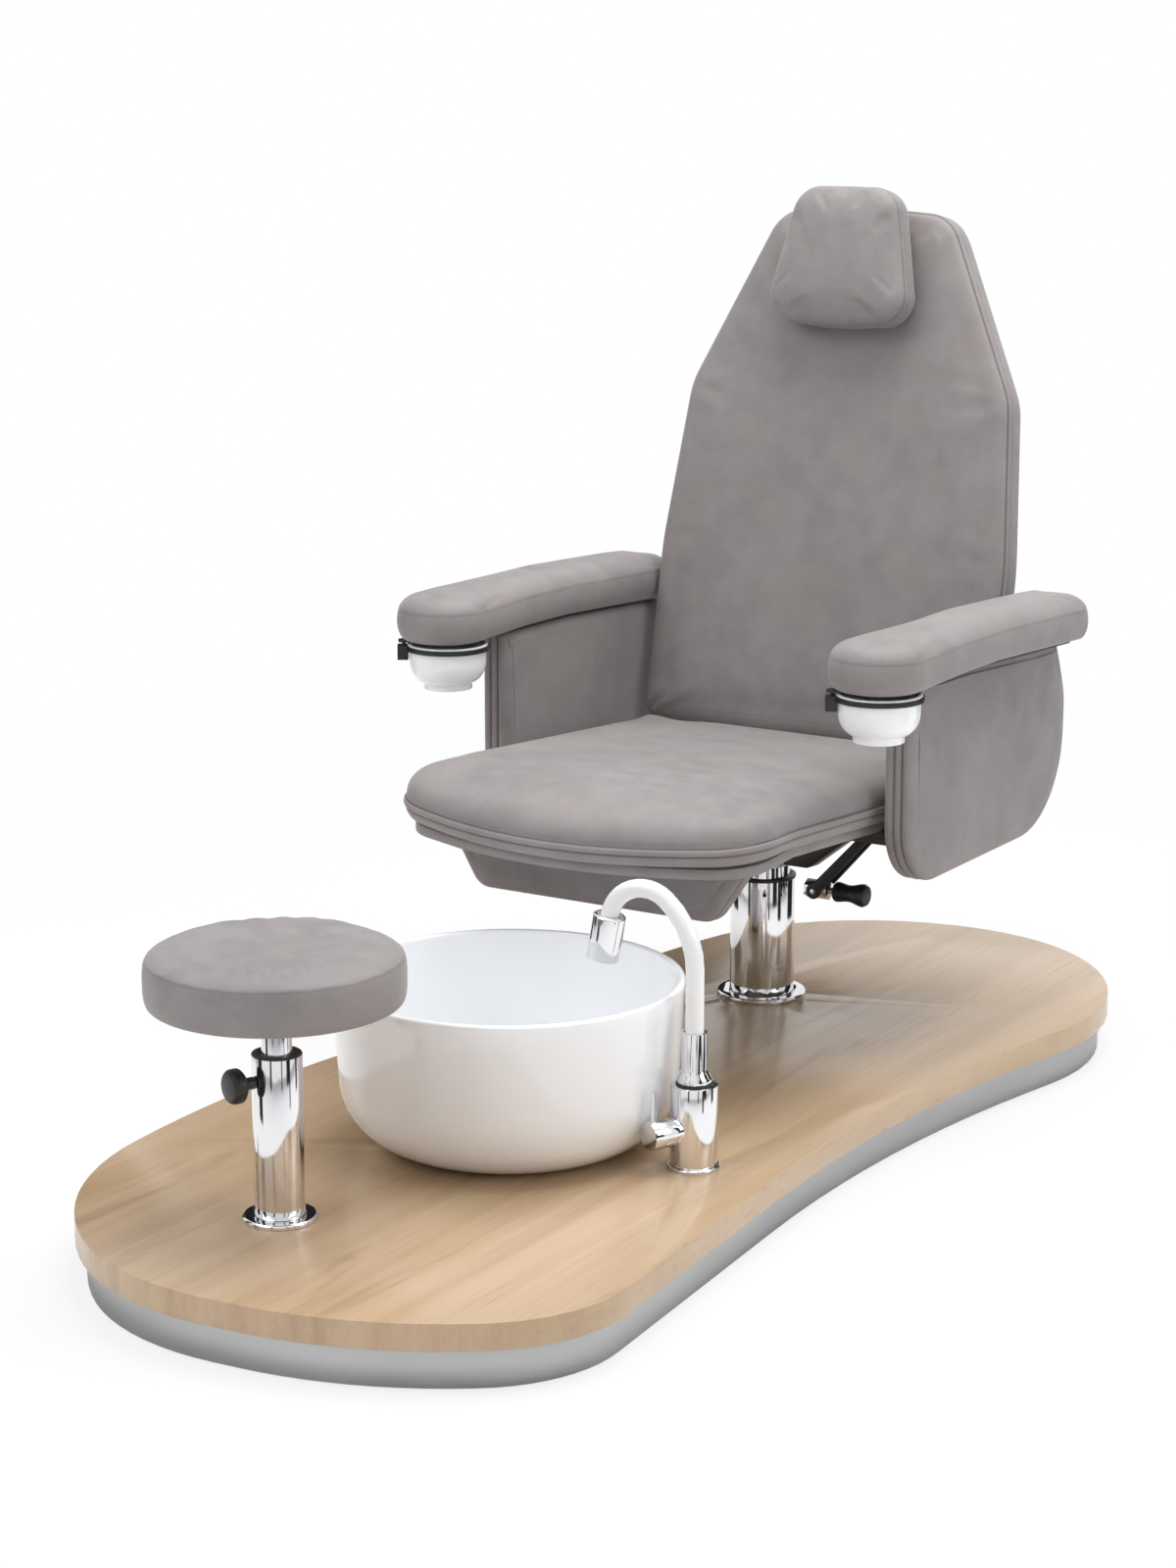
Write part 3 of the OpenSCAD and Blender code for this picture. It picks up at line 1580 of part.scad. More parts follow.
module stool_plate() {
    color(steel_colour)
        at_stool()
            difference() {
                union() {
                    translate([0, 0, stem_top - stool_hub_h]) cylinder(d = stool_hub_d, h = stool_hub_h);
                    translate([0, 0, stem_top]) cylinder(d = stool_plate_d, h = stool_plate_t);
                }
                translate([0, 0, stem_top - stool_hub_h - overrun])
                    cylinder(d = stem_d + 2 * slide_fit, h = stool_hub_h + overrun + slide_fit);
            }
}
module stool_board() {
    color(oak_colour)
        at_stool()
            translate([0, 0, stool_low]) cylinder(d = stool_board_d, h = stool_board_t);
}
module stool_cushion() {
    edge = stool_d / 2;
    seam = stool_low + stool_side;
    color(leather_colour)
        at_stool()
            rotate_extrude($fn = 128)
                polygon(concat(
                    [[0, stool_low + stool_board_t + seat_gap]],
                    [[stool_board_d / 2 + seat_gap, stool_low + stool_board_t + seat_gap]],
                    [[stool_board_d / 2 + seat_gap, stool_low], [edge - stool_roll, stool_low]],
                    [for (i = [0:4])
                        [edge + 0.88 * stool_roll * (sin(18 * i) - 1) - welt_swell,
                            stool_low + stool_roll * (1 - cos(18 * i))]],
                    [[edge, stool_low + stool_side / 2]],
                    [[edge - welt_swell, seam - 2 * seam_half], [edge - seam_dent, seam]],
                    [[edge - seam_half, seam + seam_half]],
                    [for (i = [1:8])
                        let (t = i / 8)
                        [(edge - seam_dent) * cos(90 * t),
                            seam + seam_half + (stool_crown - seam_half) * pow(sin(90 * t), 0.6)]]
                ));
}

platform_board();
plinth_core();
plinth_skirt();
levelling_feet();
column_base();
column_bolts();
column_flange();
column_tube();
column_guide_ring();
gas_spring_cylinder();
basin();
basin_waste();
basin_plug();
tap_flange();
tap_body();
tap_seal();
tap_lever();
spout_collar();
spout_hose();
spray_head();
spray_face();
stool_flange();
stool_post();
stool_guide_bush();
stool_knob();
stool_stem();
stool_plate();
stool_board();
stool_cushion();
lift_tube();
gas_spring_rod();
swivel_bearing();
swivel_head();
support_arms();
lever_bracket();
lever_boss();
lever_knob();
seat_frame();
seat_board();
seat_cushion();
apron();
side_panel_left();
side_panel_right();
armrest_plate_left();
armrest_plate_right();
armrest_left();
armrest_right();
recline_brackets();
back_hinge_arms();
backrest_board();
backrest_cushion();
headrest_guide();
headrest_bracket();
headrest_pillow();
bowl_ring_left();
bowl_ring_right();
nail_bowl_left();
nail_bowl_right();
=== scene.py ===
"""Podiatry chair on its oak platform: the finished look of every piece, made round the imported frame."""

import json
import math

import bpy
import numpy as np
from bpy.props import FloatProperty, FloatVectorProperty, PointerProperty
from mathutils import Matrix, Vector


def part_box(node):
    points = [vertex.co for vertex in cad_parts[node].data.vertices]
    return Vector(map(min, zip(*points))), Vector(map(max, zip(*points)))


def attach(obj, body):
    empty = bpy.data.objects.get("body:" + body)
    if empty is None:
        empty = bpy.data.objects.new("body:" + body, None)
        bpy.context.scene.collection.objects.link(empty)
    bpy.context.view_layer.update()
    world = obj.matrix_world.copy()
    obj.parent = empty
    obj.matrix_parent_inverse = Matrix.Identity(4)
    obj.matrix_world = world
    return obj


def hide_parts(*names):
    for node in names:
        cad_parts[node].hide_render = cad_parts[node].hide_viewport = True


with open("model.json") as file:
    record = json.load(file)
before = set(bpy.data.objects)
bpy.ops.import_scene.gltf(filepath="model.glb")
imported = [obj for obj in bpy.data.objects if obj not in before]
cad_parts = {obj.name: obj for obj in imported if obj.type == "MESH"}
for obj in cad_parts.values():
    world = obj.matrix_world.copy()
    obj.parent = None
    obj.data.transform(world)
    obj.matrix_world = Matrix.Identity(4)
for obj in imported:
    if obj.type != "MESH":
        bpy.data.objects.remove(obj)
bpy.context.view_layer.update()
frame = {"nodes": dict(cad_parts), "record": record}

bl_info = {
    "name": "Podiatry chair",
    "version": (1, 0, 0),
    "blender": (4, 5, 0),
    "location": "View3D > Sidebar > Podiatry chair",
    "description": "Upholstery, metal, oak and studio for a podiatry chair on its platform",
    "category": "Object",
}

MM = 0.001

# Copied nodes: points nearer than this merge, faces flatter than this join, edges sharper
# than this are rounded, and shading is smooth under the last two, in degrees
MERGE_NEAR = 0.02 * MM
FLAT_UNDER = math.radians(0.6)
SHARP_OVER = math.radians(38.0)
SMOOTH_UNDER = 32.0
BOARD_SMOOTH_UNDER = 40.0


# Sizes and colours that a user would change

def tone(name, description, colour):
    """A colour setting"""
    return FloatVectorProperty(
        name=name, description=description, subtype="COLOR", size=3, default=colour
    )


def measure(name, description, value):
    """A length setting"""
    return FloatProperty(name=name, description=description, unit="LENGTH", default=value)


class UpholsteryLook(bpy.types.PropertyGroup):
    """Sizes and colours of the sewn leatherette pieces"""

    light: tone("Light tone", "Colour where the leatherette is palest", (0.283, 0.259, 0.256))
    dark: tone("Dark tone", "Colour where the leatherette is deepest", (0.212, 0.192, 0.190))
    warm: tone("Warm tone", "Slightly rosy colour of the soft patches", (0.268, 0.230, 0.225))
    grain: measure("Grain", "Size of the leatherette's grain", 0.0011)
    seam_depth: measure("Seam depth", "How far a sewn seam sinks in", 0.0016)
    rings_round: measure("Point spacing", "Distance between points round a cushion", 0.0085)


class PlatformLook(bpy.types.PropertyGroup):
    """Colours of the oak board and the steel plinth"""

    oak_light: tone("Oak, light", "Colour of the pale early wood", (0.575, 0.415, 0.270))
    oak_dark: tone("Oak, dark", "Colour of the darker late wood", (0.465, 0.318, 0.188))
    oak_streak: tone("Oak streak", "Colour of the brown streaks", (0.29, 0.175, 0.088))
    steel: tone("Brushed steel", "Colour of the plinth band", (0.49, 0.49, 0.495))
    edge: measure("Edge rounding", "Rounding of the board's edges", 0.002)


class StudioLook(bpy.types.PropertyGroup):
    """Camera and light"""

    lens: FloatProperty(
        name="Lens", description="Focal length on a 36 mm frame", default=76.5, unit="CAMERA",
    )
    azimuth: FloatProperty(
        name="Azimuth", description="Turn of the camera round the object",
        subtype="ANGLE", default=math.radians(32.0),
    )
    pitch: FloatProperty(
        name="Pitch", description="How far the camera looks down",
        subtype="ANGLE", default=math.radians(12.9),
    )
    place: FloatVectorProperty(
        name="Camera place", description="Where the camera stands",
        subtype="TRANSLATION", unit="LENGTH", size=3, default=(2.432, -4.406, 1.577),
    )
    daylight: FloatProperty(
        name="Daylight", description="Strength of the light from all sides", default=0.46,
    )


def look():
    """The scene, which holds the settings"""
    return bpy.context.scene


# Shader maths

class Field:
    """A number that changes over a surface, and takes part in sums"""

    def __init__(self, maker, socket):
        self.maker = maker
        self.socket = socket

    def math(self, operation, *others, clamp=False):
        values = {i: v for i, v in enumerate((self,) + others)}
        return self.maker.node(
            "ShaderNodeMath", {"operation": operation, "use_clamp": clamp}, values
        )

    def __add__(self, other):
        return self.math("ADD", other)

    __radd__ = __add__

    def __sub__(self, other):
        return self.math("SUBTRACT", other)

    def __rsub__(self, other):
        return self.maker.value(other).math("SUBTRACT", self)

    def __mul__(self, other):
        return self.math("MULTIPLY", other)

    __rmul__ = __mul__

    def clipped(self):
        return self.math("ADD", 0.0, clamp=True)

    def above(self, low, high):
        """0 under low, 1 over high, smooth between"""
        return self.maker.node(
            "ShaderNodeMapRange", {"interpolation_type": "SMOOTHSTEP"},
            {"Value": self, "From Min": low, "From Max": high},
        )


class Number(Field):
    """A plain number on the left of a sum"""

    def __init__(self, maker, number):
        self.maker = maker
        self.number = number


class Maker:
    """Builds one material's nodes"""

    def __init__(self, name):
        self.material = bpy.data.materials.new(name)
        self.material.use_nodes = True
        self.tree = self.material.node_tree
        self.shader = self.tree.nodes["Principled BSDF"]
        self.coords = self.node("ShaderNodeTexCoord", {}, {}, output="Object")

    def value(self, number):
        return Number(self, number)

    def feed(self, socket, value):
        if isinstance(value, Number):
            socket.default_value = value.number
        elif isinstance(value, Field):
            self.tree.links.new(value.socket, socket)
        else:
            socket.default_value = value

    def node(self, kind, settings, inputs, output=0):
        made = self.tree.nodes.new(kind)
        for key, value in settings.items():
            setattr(made, key, value)
        for key, value in inputs.items():
            self.feed(made.inputs[key], value)
        return Field(self, made.outputs[output])

    def scaled(self, x, y, z, turn=(0.0, 0.0, 0.0)):
        return self.node(
            "ShaderNodeMapping", {"vector_type": "POINT"},
            {"Vector": self.coords, "Scale": (x, y, z), "Rotation": turn},
        )

    def noise(self, scale, detail=3.0, roughness=0.5, coords=None, distortion=0.0):
        return self.node(
            "ShaderNodeTexNoise", {},
            {
                "Vector": coords or self.coords, "Scale": scale, "Detail": detail,
                "Roughness": roughness, "Distortion": distortion,
            },
        )

    def mix(self, factor, low, high):
        made = self.tree.nodes.new("ShaderNodeMix")
        made.data_type = "RGBA"
        self.feed(made.inputs[0], factor)
        for socket, value in ((made.inputs[6], low), (made.inputs[7], high)):
            self.feed(socket, value if isinstance(value, Field) else (*value, 1.0))
        return Field(self, made.outputs[2])

    def bump(self, height, strength, distance, under=None):
        inputs = {"Height": height, "Strength": strength, "Distance": distance}
        if under is not None:
            inputs["Normal"] = under
        return self.node("ShaderNodeBump", {}, inputs)

    def attribute(self, name):
        return self.node(
            "ShaderNodeAttribute", {"attribute_name": name}, {}, output="Fac"
        )

    def finish(self, **sockets):
        for name, value in sockets.items():
            self.feed(self.shader.inputs[name.replace("_", " ")], value)
        return self.material


# Materials

def leatherette():
    """Warm grey leatherette: soft rosy patches, fine grain, and painted shade that darkens its sunk seams
    nearly to black
    """
    tones = look().chair_upholstery
    m = Maker("Leatherette")
    patches = m.noise(5.5, 3.0, 0.55).above(0.36, 0.64)
    mottle = m.noise(26.0, 5.0, 0.62).above(0.30, 0.70)
    rosy = m.noise(8.0, 2.0, 0.5, m.scaled(1.0, 1.0, 1.0, (0.6, 0.3, 1.1))).above(0.48, 0.72)
    grain = m.node(
        "ShaderNodeTexVoronoi", {"feature": "SMOOTH_F1"},
        {"Vector": m.coords, "Scale": 1.0 / tones.grain, "Smoothness": 0.6},
    )
    fine = m.noise(0.5 / tones.grain, 3.0, 0.6)
    seam = m.attribute("seam")
    tone = (patches * 0.45 + mottle * 0.55).clipped()
    colour = m.mix(tone, tuple(tones.dark), tuple(tones.light))
    colour = m.mix(rosy * 0.38, colour, tuple(tones.warm))
    colour = m.mix(grain * 0.16, colour, (0.34, 0.315, 0.31))
    # Painted shade: the seam weight darkens the sunk seams nearly to black, as shade in their grooves
    seam_sink_and_shade = seam * seam
    colour = m.mix((seam_sink_and_shade * 0.85).clipped(), colour, (0.045, 0.040, 0.039))
    soft = m.bump(mottle, 0.10, 0.0012)
    normal = m.bump(grain * 0.6 + fine * 0.4, 0.22, 0.00035, soft)
    return m.finish(
        Base_Color=colour, Roughness=0.56 + mottle * 0.10 - grain * 0.05, Normal=normal,
        Sheen_Weight=0.22, Sheen_Roughness=0.45, Specular_IOR_Level=0.42,
    )


def oak():
    """Light oak laminate: long grain along the platform with a few brown flecks"""
    tones = look().chair_platform
    m = Maker("Oak laminate")
    sway = m.noise(1.0, 3.0, 0.5, m.scaled(2.2, 0.9, 1.0))
    bands = m.noise(1.0, 4.0, 0.55, m.scaled(15.0, 0.55, 1.0), 0.25)
    lines = m.noise(1.0, 5.0, 0.65, m.scaled(120.0, 2.2, 40.0))
    pores = m.noise(1.0, 2.0, 0.5, m.scaled(520.0, 9.0, 160.0)).above(0.60, 0.74)
    fleck = m.noise(1.0, 4.0, 0.60, m.scaled(11.0, 1.9, 1.0), 0.6).above(0.57, 0.78)
    tone = (bands * 0.60 + lines * 0.25 + sway * 0.15).above(0.36, 0.66)
    colour = m.mix(tone, tuple(tones.oak_light), tuple(tones.oak_dark))
    colour = m.mix(fleck * (0.35 + lines * 0.5), colour, tuple(tones.oak_streak))
    colour = m.mix(pores * 0.42, colour, (0.33, 0.205, 0.105))
    normal = m.bump(1.0 - pores * 0.7 - lines * 0.3, 0.10, 0.0002)
    return m.finish(
        Base_Color=colour, Roughness=0.27 + lines * 0.10 + pores * 0.10, Normal=normal,
        Coat_Weight=0.30, Coat_Roughness=0.16,
    )


def plywood():
    """Plain core board under the platform"""
    m = Maker("Plywood")
    along = m.scaled(1.0, 0.08, 6.0)
    grain = m.noise(40.0, 5.0, 0.6, along)
    colour = m.mix(grain.above(0.3, 0.7), (0.52, 0.36, 0.20), (0.66, 0.48, 0.29))
    return m.finish(
        Base_Color=colour, Roughness=0.62 + grain * 0.15, Normal=m.bump(grain, 0.2, 0.0004)
    )


def brushed_steel():
    """Stainless band, brushed lengthwise"""
    tones = look().chair_platform
    m = Maker("Brushed stainless")
    hair = m.noise(1.0, 5.0, 0.7, m.scaled(9.0, 9.0, 2600.0))
    wide = m.noise(1.0, 3.0, 0.5, m.scaled(2.4, 2.4, 12.0))
    smear = wide.above(0.3, 0.7)
    low = tuple(0.66 * c for c in tones.steel)
    colour = m.mix((hair * 0.55 + smear * 0.45).clipped(), low, tuple(tones.steel))
    return m.finish(
        Base_Color=colour, Metallic=1.0, Roughness=0.26 + hair * 0.14 + smear * 0.05,
        Normal=m.bump(hair, 0.10, 0.0002), Anisotropic=0.5,
    )


def chrome():
    """Polished chrome with faint wipe marks"""
    m = Maker("Polished chrome")
    wipe = m.noise(22.0, 4.0, 0.6, m.scaled(1.0, 1.0, 0.25))
    spots = m.noise(260.0, 2.0, 0.5).above(0.62, 0.75)
    colour = m.mix(wipe.above(0.3, 0.7) * 0.5, (0.74, 0.74, 0.755), (0.82, 0.82, 0.83))
    return m.finish(
        Base_Color=colour, Metallic=1.0, Roughness=0.055 + wipe * 0.05 + spots * 0.03,
        Normal=m.bump(wipe, 0.012, 0.0003),
    )


def satin_steel():
    """Turned and milled steel, not polished"""
    m = Maker("Satin steel")
    turned = m.noise(1.0, 4.0, 0.6, m.scaled(60.0, 60.0, 900.0))
    cloud = m.noise(18.0, 3.0, 0.5)
    colour = m.mix(cloud.above(0.3, 0.7), (0.47, 0.47, 0.48), (0.58, 0.58, 0.59))
    return m.finish(
        Base_Color=colour, Metallic=1.0, Roughness=0.32 + turned * 0.14,
        Normal=m.bump(turned, 0.08, 0.0002),
    )


def painted(name, base, lift, roughness):
    """Powder coat with a fine orange-peel surface"""
    m = Maker(name)
    peel = m.noise(900.0, 2.0, 0.5)
    cloud = m.noise(14.0, 3.0, 0.55).above(0.3, 0.7)
    colour = m.mix(cloud, base, lift)
    return m.finish(
        Base_Color=colour, Roughness=roughness + cloud * 0.06 + peel * 0.05,
        Normal=m.bump(peel, 0.12, 0.0002),
    )


def moulded_black():
    """Black moulded plastic with a fine spark-eroded grain"""
    m = Maker("Black plastic")
    grain = m.noise(1500.0, 2.0, 0.6)
    rub = m.noise(40.0, 4.0, 0.6).above(0.45, 0.75)
    colour = m.mix(rub * 0.6, (0.010, 0.010, 0.011), (0.022, 0.022, 0.024))
    return m.finish(
        Base_Color=colour, Roughness=0.34 + grain * 0.10 + rub * 0.08,
        Normal=m.bump(grain, 0.10, 0.00015),
    )


def rubber():
    """Matt black rubber"""
    m = Maker("Black rubber")
    dust = m.noise(60.0, 5.0, 0.65).above(0.4, 0.8)
    colour = m.mix(dust * 0.5, (0.016, 0.016, 0.017), (0.035, 0.034, 0.034))
    return m.finish(
        Base_Color=colour, Roughness=0.62 + dust * 0.15, Normal=m.bump(dust, 0.1, 0.0003)
    )


def white_gloss(name, base, shade, roughness):
    """Glossy white moulding, a little cooler in its depth"""
    m = Maker(name)
    wave = m.noise(7.0, 2.0, 0.5)
    film = m.noise(70.0, 4.0, 0.6).above(0.35, 0.75)
    colour = m.mix(wave.above(0.3, 0.7), base, shade)
    return m.finish(
        Base_Color=colour, Roughness=roughness + film * 0.05,
        Normal=m.bump(wave, 0.04, 0.001), Coat_Weight=0.35, Coat_Roughness=0.05,
    )


def material(slot, made={}):
    """The material of one of the record's slots, made once"""
    makers = {
        "leather": leatherette, "oak": oak, "plywood": plywood, "stainless": brushed_steel,
        "chrome": chrome, "steel": satin_steel, "black_plastic": moulded_black,
        "black_rubber": rubber,
        "black_steel": lambda: painted(
            "Black powder coat", (0.012, 0.012, 0.013), (0.020, 0.020, 0.021), 0.36
        ),
        "pale_metal": lambda: painted(
            "Pale grey coat", (0.46, 0.47, 0.48), (0.53, 0.54, 0.55), 0.34
        ),
        "white_basin": lambda: white_gloss(
            "White basin", (0.945, 0.955, 0.975), (0.915, 0.925, 0.945), 0.08
        ),
        "white_hose": lambda: white_gloss(
            "White hose", (0.90, 0.90, 0.90), (0.86, 0.865, 0.87), 0.16
        ),
    }
    if slot not in made:
        made[slot] = makers[slot]()
    return made[slot]


# Handling objects

def only(obj):
    """Selects one object alone"""
    bpy.ops.object.select_all(action="DESELECT")
    obj.select_set(True)
    bpy.context.view_layer.objects.active = obj


def apply_all(obj):
    """Applies every modifier of an object"""
    only(obj)
    for modifier in list(obj.modifiers):
        bpy.ops.object.modifier_apply(modifier=modifier.name)


def node_slot(node):
    """The record's material slot of a node"""
    for entry in frame["record"]["subparts"]:
        if entry["node"] == node:
            return entry["material_slot"]
    raise ValueError(f"no slot for {node}")


def node_body(node):
    """The body that a node rides with"""
    for body, nodes in frame["record"]["behaviour"]["bodies"].items():
        if node in nodes:
            return body
    raise ValueError(f"no body for {node}")


def dress(obj, slot):
    """Gives an object one material"""
    obj.data.materials.clear()
    obj.data.materials.append(material(slot))


def stand_in(obj, node):
    """Makes a finished piece ride and look as its node does, in its place"""
    dress(obj, node_slot(node))
    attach(obj, node_body(node))
    node_slot(node)
    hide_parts(node)


def smooth(obj, degrees):
    """Smooth shading but for edges sharper than an angle"""
    only(obj)
    bpy.ops.object.shade_smooth_by_angle(angle=math.radians(degrees))


def copied(source, name):
    """A copy of an object with a mesh of its own"""
    obj = source.copy()
    obj.data = source.data.copy()
    obj.name = name
    obj.parent = None
    bpy.context.scene.collection.objects.link(obj)
    return obj


def finished_copy(node, edge, degrees):
    """A copy of a node with clean faces, softened edges and smooth curves, in its place"""
    obj = copied(frame["nodes"][node], node + "_finished")
    only(obj)
    bpy.ops.object.mode_set(mode="EDIT")
    bpy.ops.mesh.select_all(action="SELECT")
    bpy.ops.mesh.remove_doubles(threshold=MERGE_NEAR)
    bpy.ops.mesh.dissolve_limited(angle_limit=FLAT_UNDER)
    bpy.ops.object.mode_set(mode="OBJECT")
    bevel = obj.modifiers.new("Edge", "BEVEL")
    bevel.width = edge
    bevel.segments = 2
    bevel.limit_method = "ANGLE"
    bevel.angle_limit = SHARP_OVER
    bevel.harden_normals = False
    apply_all(obj)
    smooth(obj, degrees)
    stand_in(obj, node)


def finish_pieces(edges, degrees=SMOOTH_UNDER):
    """Finished copies of several nodes, each with the rounding of its edges in millimetres"""
    for node, edge in edges.items():
        finished_copy(node, edge * MM, degrees)
    return {"FINISHED"}


# Outlines and padded forms, drawn in millimetres in a flat frame of their own
# Seams lie this far inside the outline, welts give this share, and a hairline seam is sunk and
# given painted shade this strong; the powers shape a swelling, a crown and a sunk seam

SEAM_IN = 2.6
NARROW_SEAM_IN = 2.4
WELT_FREE = 0.3
HAIRLINE = 0.55
SWELL_POWER = 0.55
CROWN_POWER = 2.4
SEAM_POWER = 2.5
CORNER_STEPS = 40
FILL_FRAMES = 16
FILLING = {
    "quality": 6, "mass": 0.35, "tension_stiffness": 25.0, "compression_stiffness": 25.0,
    "shear_stiffness": 8.0, "bending_stiffness": 1.2, "use_pressure": True,
    "uniform_pressure_force": 4.0, "vertex_group_mass": "held", "pin_stiffness": 1.0,
}


def corner_arc(a, p, b, radius, steps):
    """The rounding of the corner at p between a and b"""
    u = (a - p) / np.linalg.norm(a - p)
    w = (b - p) / np.linalg.norm(b - p)
    half = math.acos(float(u @ w)) / 2
    middle = (u + w) / np.linalg.norm(u + w)
    centre = p + middle * radius / math.sin(half)
    start = p + u * radius / math.tan(half) - centre
    end = p + w * radius / math.tan(half) - centre
    begin = math.atan2(start[1], start[0])
    turn = (math.atan2(end[1], end[0]) - begin + 3 * math.pi) % (2 * math.pi) - math.pi
    angles = begin + turn * np.linspace(0, 1, steps + 1)
    return centre + radius * np.stack([np.cos(angles), np.sin(angles)], 1)


def rounded(corners, radii):
    """A closed outline with every corner rounded"""
    points = [np.array(c, float) for c in corners]
    n = len(points)
    return np.vstack([
        corner_arc(points[i - 1], points[i], points[(i + 1) % n], radii[i], CORNER_STEPS)
        for i in range(n)
    ])


def travelled(points):
    """How far along a line each of its points lies"""
    return np.concatenate([[0], np.cumsum(np.linalg.norm(np.diff(points, axis=0), axis=1))])


def four_sides(line, corners, spacing):
    """A closed line as four runs between its points nearest to the given corners"""
    starts = [int(np.argmin(np.linalg.norm(line - np.array(c, float), axis=1))) for c in corners]
    runs = []
    for i, start in enumerate(starts):
        end = starts[(i + 1) % 4]
        run = line[start:end + 1] if end > start else np.vstack([line[start:], line[:end + 1]])
        steps = np.linalg.norm(np.diff(run, axis=0), axis=1)
        run = run[np.concatenate([[True], steps > 1e-6])]
        runs.append((run, travelled(run)))
    counts = [
        int(round(max(runs[i][1][-1], runs[i + 2][1][-1]) / spacing)) for i in range(2)
    ]
    made = []
    for i, (run, at) in enumerate(runs):
        places = np.arange(counts[i % 2]) * at[-1] / counts[i % 2]
        made.append(np.stack([np.interp(places, at, run[:, k]) for k in range(2)], 1))
    return np.vstack(made), counts


def inward(line):
    """Unit normals that point into a line that runs anticlockwise"""
    along = np.roll(line, -1, 0) - np.roll(line, 1, 0)
    along /= np.linalg.norm(along, axis=1)[:, None]
    return np.stack([-along[:, 1], along[:, 0]], 1)


def swell(start, end, bulge, steps):
    """Profile points from one seam to the next, bulging outwards between them"""
    a, b = np.array(start, float), np.array(end, float)
    along = (b - a) / np.linalg.norm(b - a)
    out = np.array([-along[1], along[0]])
    share = np.linspace(0, 1, steps + 1)
    height = bulge * np.sin(np.pi * share) ** SWELL_POWER
    return [tuple(a + (b - a) * s + out * h) for s, h in zip(share, height)]


def curve_through(points, steps):
    """Smooth profile points through a few given ones"""
    p = np.array(points, float)
    run = travelled(p)
    slope = np.gradient(p, run, axis=0)
    at = np.linspace(0, run[-1], steps + 1)
    made = []
    for s in at:
        k = min(max(int(np.searchsorted(run, s)) - 1, 0), len(run) - 2)
        h = run[k + 1] - run[k]
        t = (s - run[k]) / h
        made.append(tuple(
            (2 * t**3 - 3 * t**2 + 1) * p[k] + (t**3 - 2 * t**2 + t) * h * slope[k]
            + (3 * t**2 - 2 * t**3) * p[k + 1] + (t**3 - t**2) * h * slope[k + 1]
        ))
    return made


